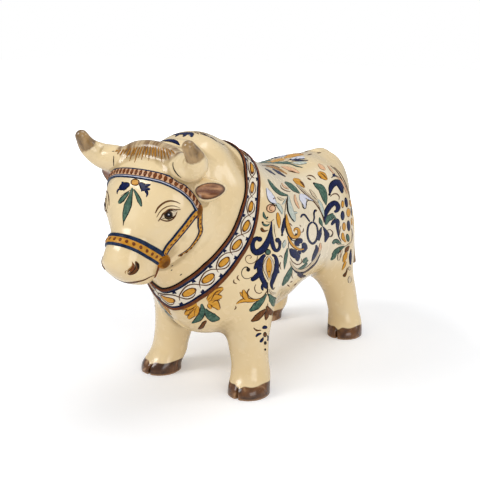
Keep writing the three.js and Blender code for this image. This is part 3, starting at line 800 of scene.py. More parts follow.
class Relief:
    """Thin closed pieces of glaze that lie on the skin, gathered until they are made into one object."""

    def __init__(self):
        self.points, self.normals, self.marks, self.faces, self.ids = [], [], [], [], []
        self.count = 0

    def add(self, places, normals, heights, edge, tone=0.0, outlined=1.0, ids=0):
        """A grid of places, raised by heights in mm, closed below its two long edges."""
        n, m = heights.shape
        edge, tone = np.broadcast_to(edge, (n, m)), np.broadcast_to(tone, (n, m))
        ids = np.broadcast_to(ids, m - 1)
        facing = np.cross(np.diff(places, axis=0)[:, :-1], np.diff(places, axis=1)[:-1])
        if (facing * normals[:-1, :-1]).sum() < 0:
            grids = (places, normals, heights, edge, tone)
            places, normals, heights, edge, tone = (grid[:, ::-1] for grid in grids)
            ids = ids[::-1]
        step = np.gradient(places, axis=1)
        size = np.maximum(np.linalg.norm(step, axis=2), 1e-4)
        slope = np.clip(np.gradient(heights, axis=1) / size, -3, 3)
        top = places + normals * heights[..., None]
        tilted = normals - (slope / size)[..., None] * step
        tilted /= np.linalg.norm(tilted, axis=2)[..., None]
        under = (places - normals * SUNK_MM)[:, [0, -1]]
        side = np.stack([-step[:, 0] / size[:, :1], step[:, -1] / size[:, -1:]], 1)
        grid = np.arange(n * m).reshape(n, m) + self.count
        low = np.arange(n * 2).reshape(n, 2) + self.count + n * m
        quads = [np.stack([grid[:-1, :-1], grid[1:, :-1], grid[1:, 1:], grid[:-1, 1:]], -1).reshape(-1, 4)]
        quads.append(np.stack([low[:-1, 0], low[:-1, 1], low[1:, 1], low[1:, 0]], -1))
        quads.append(np.stack([grid[:-1, 0], low[:-1, 0], low[1:, 0], grid[1:, 0]], -1))
        quads.append(np.stack([grid[:-1, -1], grid[1:, -1], low[1:, 1], low[:-1, 1]], -1))
        self.faces += [tuple(q) for q in np.concatenate(quads).tolist()]
        self.faces.append((*grid[0].tolist(), low[0, 1], low[0, 0]))
        self.faces.append((*grid[-1, ::-1].tolist(), low[-1, 0], low[-1, 1]))
        first, last = int(ids[0]), int(ids[-1])
        self.ids += np.broadcast_to(ids, (n - 1, m - 1)).ravel().tolist()
        self.ids += [first] * (2 * n - 2) + [last] * (n - 1) + [first] * 2
        self.points += [top.reshape(-1, 3), under.reshape(-1, 3)]
        self.normals += [tilted.reshape(-1, 3), side.reshape(-1, 3)]
        edge, tone = (np.append(v, np.zeros(2 * n)) for v in (edge, tone))
        self.marks.append(np.stack([edge, tone, np.full(len(edge), float(outlined))], -1))
        self.count += n * (m + 2)

    def make(self, name, materials, mirrored=False):
        """The gathered pieces as one object, or as its image on the bull's right side."""
        side = [-1 if mirrored else 1, 1, 1]
        points, normals = np.vstack(self.points) * side, np.vstack(self.normals) * side
        faces = [f[::-1] for f in self.faces] if mirrored else self.faces
        marks = dict(zip(("edge", "tone", "outlined"), np.vstack(self.marks).T))
        return make_mesh(name, points, faces, normals, marks, materials, self.ids)


# A stroke's cross-section: shares of its half width, and of its height there
ACROSS = np.array([-1, -0.86, -0.5, 0, 0.5, 0.86, 1])
RISE = np.array([-0.12, 0.6, 0.95, 1, 0.95, 0.6, -0.12])
PAINT_MM = 0.2
LAYER_MM = 0.07  # each layer lies this much higher
BURIED_MM = -0.03
BROAD_MM = 2.2  # a narrower mark's outline takes the same share of it as this half-width's


def lay(relief, chart, middle, wide, ends, layer, base):
    """Glaze laid on the skin along a line of changing width, thin at its sides."""
    along = np.gradient(middle, axis=0)
    side = np.stack([along[:, 1], -along[:, 0]], -1) / np.linalg.norm(along, axis=1)[:, None]
    places, normals = chart(middle[:, None] + side[:, None] * (ACROSS[:, None] * wide[:, None, None] / 2))
    half = np.linalg.norm(places[:, -1] - places[:, 0], axis=1) / 2
    edge = np.maximum(half, BROAD_MM)[:, None] * (1 - np.abs(ACROSS))
    if ends is not None:
        edge = np.minimum(edge, max(half.max(), BROAD_MM) * ends[:, None])
    rise = np.minimum(PAINT_MM, half * 0.6 + 0.02)[:, None] * RISE + layer * LAYER_MM
    rise[:, [0, -1]] = BURIED_MM
    rise[[0, -1]] = BURIED_MM
    relief.add(places, normals, base + rise, edge)


def stroke(relief, chart, points, widths, spacing, layer, base):
    """One brush stroke: a smooth line whose width changes along it, with round or pointed ends."""
    middle, far = curve(points, spacing)
    wide = np.interp(far / far[-1], np.linspace(0, 1, len(widths)), widths)
    for end, w in ((far, wide[0]), (far[-1] - far, wide[-1])):
        near = np.clip(1 - end / max(w / 2, 1e-3), 0, 1)
        wide = wide * np.sqrt(np.maximum(1 - near * near, 0.004))
    lay(relief, chart, middle, wide, None, layer, base)


def dot(relief, chart, centre, radii, turn, layer, base):
    """A round or oval touch of the brush."""
    c, s = math.cos(math.radians(turn)), math.sin(math.radians(turn))
    t = np.sin(np.linspace(-0.46, 0.46, 11) * math.pi)
    middle = np.array(centre) + np.outer(t * radii[0], [c, s])
    lay(relief, chart, middle, 2 * radii[1] * np.sqrt(1 - t * t), 1 - np.abs(t), layer, base)
# The halter, drawn on the head's side view: the brow, nose, cheek and chin lines in mm along and out from the
# poll, and the throat strap's in y and z
BROW_LINE = [(17.5, 22), (17.8, 9), (19.8, 1.5), (22.6, -5.4), (25.8, -10.9), (27.1, -15)]
NOSE_LINE = [(62.5, 20), (62.5, 8), (63, 2.4), (63.8, -5), (64, -13.6), (64.1, -19)]
CHEEK_LINE = [(28, -14.5), (33, -12.5), (40.7, -12.5), (50.8, -15.5), (58, -18), (64, -20)]
CHIN_LINE = [(64, -20), (69, -22.5), (75, -26)]
THROAT_LINE = [(-126.5, 145), (-125.2, 136.8), (-123.2, 132), (-123.2, 127.8), (-124, 123.5), (-125.3, 118.6),
               (-129, 113.5)]
BROW_SPAN = 112
NOSE_SPAN = 138
RING_STEPS = 221

# Rows of a band: the place across it, its height there in mm, and the colour from there to the next row
BROW_ROWS = [(-3.9, -0.3, "navy"), (-3.7, 0.6, "navy"), (-3.2, 0.9, "navy"), (-2.8, 0.7, "rose"),
             (-2.4, 1.1, "rose"), (-1, 1.2, "rose"), (0.8, 1.1, "rose"), (1.2, 0.8, "navy"),
             # The pale row between the two lower navy rows is a painted highlight
             (1.5, 1.1, "navy"), (1.9, 1.0, "pale"), (2.4, 1.2, "navy"), (3.0, 1.0, "navy"),
             (3.4, -0.3, "navy")]
NOSE_ROWS = [(-5.2, -0.3, "navy"), (-4.9, 0.8, "navy"), (-3.8, 1.4, "navy"), (-2.7, 1.1, "navy"),
             (-2.2, 0.7, "ochre"), (-1.8, 1.2, "ochre"), (0, 1.4, "ochre"), (1.8, 1.2, "ochre"),
             (2.2, 0.7, "navy"), (2.7, 1.1, "navy"), (3.4, 1.1, "navy"), (4.0, 0.7, "navy"),
             (4.3, -0.3, "navy")]
CHEEK_ROWS = [(-3.1, -0.3, "navy"), (-2.8, 0.9, "navy"), (-2.2, 1.3, "navy"), (-1.5, 0.9, "ochre"),
              (-1.1, 1.2, "ochre"), (0, 1.3, "ochre"), (1.1, 1.2, "ochre"), (1.5, 0.8, "navy"),
              (2.0, 1.2, "navy"), (2.5, 0.9, "navy"), (2.8, -0.3, "navy")]
THROAT_ROWS = [(0.7 * a, h, c) for a, h, c in CHEEK_ROWS]
CHIN_ROWS = [(-2, -0.3, "navy"), (-1.7, 0.6, "navy"), (-0.4, 1.0, "navy"), (0.4, 1.0, "russet"),
             (1.7, 0.6, "russet"), (2, -0.3, "russet")]
# Beads: their place across the band, step along it, length, width and height in mm
BEAD_COLOUR = "russet"
BROW_BEADS = (-0.8, 3.6, 2.7, 3.8, 1.8)
NOSE_BEADS = (0, 4.4, 2.6, 2.6, 1.8)
CHEEK_BEADS = (0, 3.2, 2.0, 1.7, 1.6)
THROAT_BEADS = (0, 3.0, 1.6, 1.1, 1.6)


def side_line(line):
    """A line given by millimetres along and out from the poll, as y and z."""
    return [tuple((POLL + ALONG * along + OUT * out)[1:]) for along, out in line]


def round_head(line, angle, offset):
    """Places round the head where its side view crosses a line, moved along the head by an offset in mm."""
    alongs, outs = np.array(sorted(line, key=lambda place: place[1])).T
    turn = np.radians(angle)
    spoke = np.sin(turn)[..., None] * np.array([1.0, 0, 0]) + np.cos(turn)[..., None] * OUT
    out = 15 * np.cos(turn)
    for _ in range(5):
        along = np.interp(out, outs, alongs) + offset
        axis = POLL + along[..., None] * ALONG
        places, normals = cast(axis + spoke * 90, -spoke)
        out = (places - POLL) @ OUT
    return places, normals


def parsed(rows):
    """A band's rows as places across it, heights, its colours' names and each row's number among them."""
    names = list(dict.fromkeys(row[2] for row in rows))
    across, heights = (np.array([row[i] for row in rows]) for i in (0, 1))
    return across, heights, names, [names.index(row[2]) for row in rows[:-1]]


def string_beads(relief, chart, length, beads, colour_id):
    """Domed beads at even steps along a band, whose chart turns mm along and across it into places."""
    bead_across, step, long, wide, rise = beads
    number = int(length / step)
    t = np.linspace(-0.98, 0.98, 7)
    circle = np.sqrt(1 - t * t)[:, None]
    dome = circle * (1 - ACROSS**2 * 0.9)
    for k in range(number):
        along = (k + 0.5) * length / number + t * long / 2
        spots, facing = chart(along, bead_across + circle * ACROSS * wide / 2)
        relief.add(spots, facing, rise * (0.6 + 0.4 * dome), 0.4 + dome, 0, 0, colour_id)


def ring_band(name, node, line, span, rows, beads):
    """A band round the face, from a side line and how many degrees it reaches to each side."""
    relief = Relief()
    across, heights, names, ids = parsed(rows)
    angle = np.linspace(-span, span, RING_STEPS)
    at_angle, at_across = np.meshgrid(angle, across, indexing="ij")
    places, normals = round_head(line, at_angle, at_across)
    relief.add(places, normals, np.broadcast_to(heights, at_angle.shape), 1.0, outlined=0, ids=ids)
    steps = np.linalg.norm(np.diff(places[:, len(across) // 2], axis=0), axis=1)
    far = np.concatenate([[0], np.cumsum(steps)])

    def chart(along, over):
        return round_head(line, np.broadcast_to(np.interp(along, far, angle)[:, None], over.shape), over)

    names.append(BEAD_COLOUR)
    string_beads(relief, chart, far[-1], beads, len(names) - 1)
    piece = relief.make(name, [PIGMENTS[n] for n in names])
    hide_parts(node)


def side_band(name, points, rows, beads, tip=1.0):
    """A strap down the side of the head, and its mirror image. It narrows to a share of its width."""
    relief = Relief()
    across, heights, names, ids = parsed(rows)
    middle, far = curve(points, 0.8)
    along = np.gradient(middle, axis=0)
    side = np.stack([along[:, 1], -along[:, 0]], -1) / np.linalg.norm(along, axis=1)[:, None]
    narrow = np.linspace(1, tip, len(middle)) ** 0.5

    def chart(where, over):
        at = np.stack([np.interp(where, far, v) for v in (*middle.T, *side.T, narrow)], -1)
        return on_side(at[:, None, :2] + at[:, None, 2:4] * (over * at[:, 4:])[..., None])

    places, normals = chart(far, across[None])
    relief.add(places, normals, heights * narrow[:, None], 1.0, outlined=0, ids=ids)
    if beads:
        names.append(BEAD_COLOUR)
        string_beads(relief, chart, far[-1], beads, len(names) - 1)
    for hand in ("left", "right"):
        piece = relief.make(f"{name}_{hand}", [PIGMENTS[n] for n in names], hand == "right")
        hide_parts(f"{name}_{hand}")


ring_band("brow_band", "browband", BROW_LINE, BROW_SPAN, BROW_ROWS, BROW_BEADS)
ring_band("nose_band", "noseband", NOSE_LINE, NOSE_SPAN, NOSE_ROWS, NOSE_BEADS)
side_band("cheek_strap", side_line(CHEEK_LINE), CHEEK_ROWS, CHEEK_BEADS)
side_band("throat_strap", THROAT_LINE, THROAT_ROWS, THROAT_BEADS, tip=0.1)
side_band("chin_strap", side_line(CHIN_LINE), CHIN_ROWS, None)


# The collar, round an axis that leans forward. Each edge row is an angle up from the side, and how far
# forward of the collar's middle its front and rear edges lie there. A ring's rows are like a band's, but in
# shares across.
COLLAR_MIDDLE = np.array([0, -92.5, 136])
COLLAR_FORWARD = np.array([0, -0.905, 0.426])
COLLAR_UP = np.array([0, 0.426, 0.905])
COLLAR_EDGES = [(-90, 4.2, -15.5), (-70, 6.3, -13.2), (-50, 6.2, -13.6), (-30, 4.3, -14), (-10, 1.6, -15.8),
                (10, -0.4, -17.4), (30, -4.6, -18), (50, -8, -20.4), (70, -9.6, -23), (90, -12, -26.5)]
FRONT_CORD_ROWS = [(-0.01, -0.3, "line"), (0.0, 0.6, "line"), (0.015, 1.2, "russet"), (0.06, 1.9, "russet"),
                   (0.085, 1.9, "navy"), (0.12, 1.7, "navy"), (0.155, 1.1, "navy"), (0.17, -0.3, "navy")]
REAR_CORD_ROWS = [(0.83, -0.3, "navy"), (0.845, 1.1, "navy"), (0.855, 1.2, "russet"), (0.88, 1.7, "russet"),
                  (0.93, 1.9, "russet"), (0.985, 1.2, "line"), (1.0, 0.6, "line"), (1.01, -0.3, "line")]
RIBBON_ROWS = [(0.165, -0.3, "blue"), (0.175, 0.8, "blue"), (0.19, 1.0, "blue"), (0.205, 0.8, "ribbon"),
               (0.26, 0.7, "ribbon"), (0.5, 0.9, "ribbon"), (0.74, 0.7, "ribbon"), (0.79, 0.8, "blue"),
               (0.8, 1.0, "blue"), (0.825, 0.8, "blue"), (0.835, -0.3, "blue")]


def on_collar(at):
    """Places on the collar, given by an angle up from the side and a share of the way to its rear edge."""
    angle, share = at[..., 0], at[..., 1]
    turn = np.radians(angle)
    folded = np.degrees(np.arcsin(np.sin(turn)))
    angles, fronts, rears = zip(*COLLAR_EDGES)
    front, rear = (np.interp(folded, angles, edge) for edge in (fronts, rears))
    spoke = np.cos(turn)[..., None] * np.array([1.0, 0, 0]) + np.sin(turn)[..., None] * COLLAR_UP
    middle = COLLAR_MIDDLE + (front + (rear - front) * share)[..., None] * COLLAR_FORWARD
    return cast(middle + spoke * 110, -spoke)


def collar_ring(name, node, rows):
    """One closed ring of the collar."""
    across, heights, names, row_ids = parsed(rows)
    angle, across = np.meshgrid(np.linspace(-90, 270, 361), across, indexing="ij")
    places, normals = on_collar(np.stack([angle, across], -1))
    top = places + normals * heights[:, None]
    tilted = np.cross(np.gradient(top, axis=1), np.gradient(places, axis=0))
    tilted *= np.sign((tilted * normals).sum(-1).mean())
    tilted /= np.linalg.norm(tilted, axis=2)[..., None]
    under = (places - normals * 0.6)[:, [0, -1]]
    n, m = angle.shape
    n -= 1
    points = np.concatenate([top[:-1].reshape(-1, 3), under[:-1].reshape(-1, 3)])
    facing = np.concatenate([tilted[:-1].reshape(-1, 3), -normals[:-1][:, [0, -1]].reshape(-1, 3)])
    low = np.arange(n * 2).reshape(n, 2) + n * m
    loop = np.concatenate([np.arange(n * m).reshape(n, m), low[:, ::-1]], 1)
    after = np.roll(loop, -1, axis=0)
    faces = np.stack([loop, np.roll(loop, -1, axis=1), np.roll(after, -1, axis=1), after], -1).reshape(-1, 4)
    ids = np.tile([*row_ids, row_ids[-1], row_ids[-1], row_ids[0]], n)
    first = np.cross(top[1, 0] - top[0, 0], top[0, 1] - top[0, 0])
    if first @ normals[0, 0] > 0:
        faces = faces[:, ::-1]
    marks = {"edge": np.ones(len(points)), "tone": np.zeros(len(points)), "outlined": np.zeros(len(points))}
    piece = make_mesh(name, points, faces.tolist(), facing, marks, [PIGMENTS[n] for n in names], ids)
    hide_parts(node)


collar_ring("collar_front_roll", "collar_front_cord", FRONT_CORD_ROWS)
collar_ring("collar_rear_roll", "collar_rear_cord", REAR_CORD_ROWS)
collar_ring("collar_ribbon", "collar_band", RIBBON_ROWS)


# The studs: half sizes, place and the way each faces
UPPER_STUD = ((3.6, 4.8, 5.6), (35.2, -127.5, 146.4), (0.93, -0.35, 0))
LOWER_STUD = ((4.2, 5.2, 5.2), (17.2, -140.6, 112), (0.9, -0.3, -0.3))
STUD_RING = 1.9
STUD_RING_WIDTH = 0.35


def stud(name, half_sizes, place, facing, sides=40, steps=20):
    """A domed oval stud with a darker ring painted round its middle, and its mirror image."""
    turn = np.array(Vector((1, 0, 0)).rotation_difference(Vector(facing)).to_matrix())
    around = 2 * math.pi * np.arange(sides) / sides
    angles = np.linspace(0.03, math.pi - 0.03, steps)
    out, wide = np.cos(angles)[:, None], np.sin(angles)[:, None] ** 0.8
    rings = np.stack([out + 0 * around, wide * np.cos(around), wide * np.sin(around)], -1) * half_sizes
    points, quads, triangles = ring_mesh(rings)
    faces = [*quads.tolist(), *triangles.tolist()]
    p = points[quads]
    if (p.mean(1) * np.cross(p[:, 2] - p[:, 0], p[:, 3] - p[:, 1])).sum() < 0:
        faces = [f[::-1] for f in faces]
    edge = np.concatenate([np.repeat(np.linspace(0, 3, steps), sides), [0, 3]])
    tone = 0.8 * np.exp(-((edge - STUD_RING) / STUD_RING_WIDTH) ** 2)
    marks = {"edge": edge, "tone": tone, "outlined": np.zeros(len(edge))}
    on_head = points @ turn.T + np.array(place)
    for hand, sign in (("left", 1), ("right", -1)):
        own = [f[::-1] for f in faces] if sign < 0 else faces
        places = on_head * [sign, 1, 1]
        piece = make_mesh(f"{name}_button_{hand}", places, own, None, marks, [PIGMENTS["gold"]])
        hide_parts(f"{name}_stud_{hand}")


stud("upper", *UPPER_STUD)
stud("lower", *LOWER_STUD)




COLLAR_RADIUS = 52
COLLAR_WIDTH = 19.5
COLLAR_RISE = 0.8  # the ribbon's height, on which its painting lies


def on_collar_mm(at):
    """Places on the collar given in millimetres round it and across it from its front edge."""
    return on_collar(at / np.array([math.radians(1) * COLLAR_RADIUS, COLLAR_WIDTH]))


def paint(region, chart, marks, sides=("left", "right"), spacing=0.9, base=0.0):
    """Brush marks laid on one region, as one object for each colour, and its mirror image. A mark is a
    colour, a line and its widths or a centre and its half sizes and turn, and a layer where it has one."""
    reliefs = {}
    for colour, where, size, *layer in marks:
        relief = reliefs.setdefault(colour, Relief())
        level = layer[0] if layer else 0
        if isinstance(where, list):
            stroke(relief, chart, where, size, spacing, level, base)
        else:
            dot(relief, chart, where, size[:2], size[2], level, base)
    for colour, relief in reliefs.items():
        for side in sides:
            piece = relief.make(f"{region}_{colour}_{side}", [PIGMENTS[colour]], side == "right")


COLLAR_OVALS = 21
VINE_WIDTHS = [0.3, 0.9, 1, 0.8, 0.7, 0.8, 0.9, 0.3]
COLLAR_VINE = [(-8.2, 12.2), (-6.2, 8), (0, 5), (5.5, 6.2), (9, 9.8), (12.5, 13.4), (16.5, 14), (19.5, 12)]


def collar_marks():
    """Ochre ovals round the collar, a vine that winds between them, and blue tabs at both edges."""
    step = 2 * math.pi * COLLAR_RADIUS / COLLAR_OVALS
    marks = []
    for k in range(COLLAR_OVALS):
        u = k * step - math.pi / 2 * COLLAR_RADIUS
        marks.append(("ochre", (u, 9.7), (5.3, 2.9, 8)))
        marks.append(("brown", [(u + a, b) for a, b in COLLAR_VINE], VINE_WIDTHS, 1))
        for across, tip in ((4.6, 6.2), (14.9, 13.3)):
            root = (u + step * 0.45, across)
            marks.append(("blue", root, (1.3, 1.0, 0)))
            marks.append(("blue", [root, (root[0] + 1.2, tip)], [1.8, 0.7]))
            marks.append(("blue", [root, (root[0] - 1.6, (across + tip) / 2)], [1.6, 0.6]))
    return marks


# The painting, stroke by stroke. The places and widths are in the photograph's pixels, but the hump's are in
# millimetres from above.
EYE_MARKS = [
    ("white", [(160.5, 219.3), (164, 216), (169, 214.6), (174, 213.2), (177.6, 210.6)],
     [0.6, 6.5, 10, 7.5, 0.6]),
    ("iris", (168.4, 215), (4.5, 4.9, 0), 1),
    ("line", (168.4, 214.8), (3.1, 3.2, 0), 2),
    # A pale touch on the iris: a painted highlight
    ("pale", [(167.6, 214.2), (169.8, 214.8)], [1.5, 2.2], 5),
    ("brown", [(158, 221.5), (161, 217.5), (164.5, 213), (169.5, 209.4), (176, 209.6), (180.8, 209.4)],
     [0.9, 1.4, 1.4, 1.5, 1.2, 0.9], 2),
    ("brown", [(159.8, 218.8), (163, 220.2), (167.5, 221), (172.4, 219.2), (175.6, 215.4), (177, 211.4)],
     [0.8, 1.2, 1.4, 1.4, 1.2, 0.6], 2),
    ("brown", [(156.4, 217.6), (161, 210.6), (167.5, 206.6), (174, 206), (180, 208)],
     [0.5, 1, 1.1, 0.9, 0.4]),
    ("brown", [(155, 213.4), (158.5, 207.4), (164, 202.8), (170, 200.9), (176, 201.8), (180.6, 204)],
     [0.9, 1.9, 1.9, 1.8, 1.3, 0.6]),
]
NOSTRIL_MARKS = [
    ("russet", [(132.8, 262.4), (133.6, 266), (131.6, 270), (128.2, 272.4)], [0.6, 3, 4, 2.6]),
    ("brown", [(135.2, 261.2), (137.2, 264.6), (136.8, 268.8), (133.6, 272.6), (129.6, 274.2), (127.4, 273)],
     [1.4, 4.4, 4.6, 4.2, 2.4, 0.8], 1),
    ("line", [(136, 262.4), (137.8, 265.6), (137.4, 269.2)], [0.8, 2.2, 0.8], 2),
    ("hair", [(132.1, 261.2), (132.4, 264.6), (130.8, 267.6), (128.2, 270), (127.4, 273)],
     [0.5, 0.9, 0.9, 0.9, 0.6], 2),
    ("hair", [(127.2, 270.2), (125.2, 271.8), (125.6, 274)], [0.4, 0.9, 0.7]),
    # A white touch in the nostril: a painted highlight
    ("white", (129.4, 271.3), (0.6, 1.1, 0), 3),
]
MOUTH_MARKS = [
    ("brown", [(121.3, 282.4), (128, 282.9), (134.8, 282.3), (144, 280), (150, 277), (155.6, 274.6)],
     [1.5, 1.8, 1.8, 1.5, 1.1, 0.4]),
    ("line", [(170.5, 271), (172.6, 269.4)], [0.8, 1.2, 0.4]),
    ("line", [(179.6, 275.8), (182.4, 273.6)], [0.6, 1.2, 0.4]),
    ("line", [(170.6, 266.3), (173.6, 265.3)], [0.5, 1, 0.3]),
]
FOREHEAD_MARKS = [
    ("green", [(133.6, 189), (136.6, 194.5), (139.6, 201), (141.6, 206.8)], [1.5, 3.6, 5, 1.6]),
    ("green", [(129.4, 191.6), (124.5, 196.8), (118.4, 203.6)], [1.6, 4.2, 5.6, 3]),
    ("green", [(132.4, 187.6), (130.4, 197), (127.4, 207), (124.6, 216.5), (123.6, 222)],
     [2, 4.4, 8.4, 6.6, 1.6]),
    ("line", [(123.8, 219.5), (123.2, 226)], [1.4, 0.4], 1),
    ("line", [(131.6, 189.4), (126, 192.6), (120.4, 196.2)], [0.5, 0.7, 0.3]),
    ("line", [(132.6, 190), (130, 193.8), (127.4, 198)], [0.4, 0.6, 0.3]),
    ("blue", [(130, 184), (124.6, 185.8), (119, 189.6)], [3.6, 8.4, 3.4]),
    ("blue", [(125, 185.6), (121.6, 181.6)], [5, 2]),
    ("blue", [(119.6, 188.6), (117.4, 191), (117.2, 194.4)], [2.6, 1.7, 0.6]),
    ("blue", [(124.6, 187), (123.4, 191)], [4, 1.8]),
    ("blue", [(139.4, 182.6), (143, 186.4), (145.6, 191)], [3.4, 7.6, 5.8]),
    ("blue", [(144, 186.4), (150.8, 184.4)], [5, 1.6]),
    ("blue", [(145, 188.4), (150.4, 189.4)], [5, 1.8]),
    ("blue", [(145.4, 190), (147.3, 193.6), (146.2, 197.4)], [4.6, 2.6, 0.7]),
    ("blue", [(142.6, 188), (141.4, 191.8)], [3.2, 1.4]),
    ("ochre", (135.2, 182.3), (4.6, 3.7, 0), 1),
]
HORN_MARKS = [
    ("line", [(173.2, 161.6), (173, 166), (174.6, 170.4), (178, 175), (181.6, 178)], [0.4, 1, 1.2, 1, 0.3]),
    ("line", [(113.8, 155.4), (113.6, 160), (113.8, 166.6)], [0.5, 1, 0.6]),
    ("line", [(111.6, 151.4), (115, 151.2)], [0.4, 0.9, 0.4]),
]
HUMP_MARKS = [
    ("blue", [(-12.5, -91.6), (-8, -91.4), (-3, -90.6), (2, -89.8), (6.4, -92)], [1.4, 4.4, 5.4, 5.2, 2]),
    ("blue", [(-6.6, -91.4), (-5.2, -96.8)], [4.2, 1.4]),
    ("blue", [(-0.6, -91), (1.4, -96.4)], [4.4, 1.4]),
    ("blue", [(4, -90.6), (7.2, -94.6)], [4, 1.4]),
    # A pale touch on the blue flower: a painted highlight
    ("pale", [(3, -92), (5, -93.2)], [2.2, 1], 1),
    ("blue", [(-13, -103.4), (-8, -103.4), (-3, -103.8), (1.5, -105), (6.6, -107.2)],
     [0.8, 3, 3.6, 2.8, 0.8]),
    ("white", [(1.6, -85), (8, -82.8), (16, -84.4)], [1, 6, 1]),
    ("brown", [(4, -85), (9, -84), (14.4, -84.8)], [0.3, 0.8, 0.3], 1),
    ("brown", [(4.6, -83.4), (9.4, -82.2), (13.6, -83)], [0.3, 0.7, 0.3], 1),
    ("blue", [(8, -87.2), (12.4, -85.4), (16, -82.8), (20, -81.4)], [0.5, 1.1, 2.8, 0.8]),
    ("brown", [(3, -87.6), (6.4, -86.8), (8.6, -88.4)], [0.4, 1.6, 0.3]),
    ("line", [(18.8, -80.4), (19.2, -76), (18.4, -71)], [0.3, 0.7, 0.3]),
]
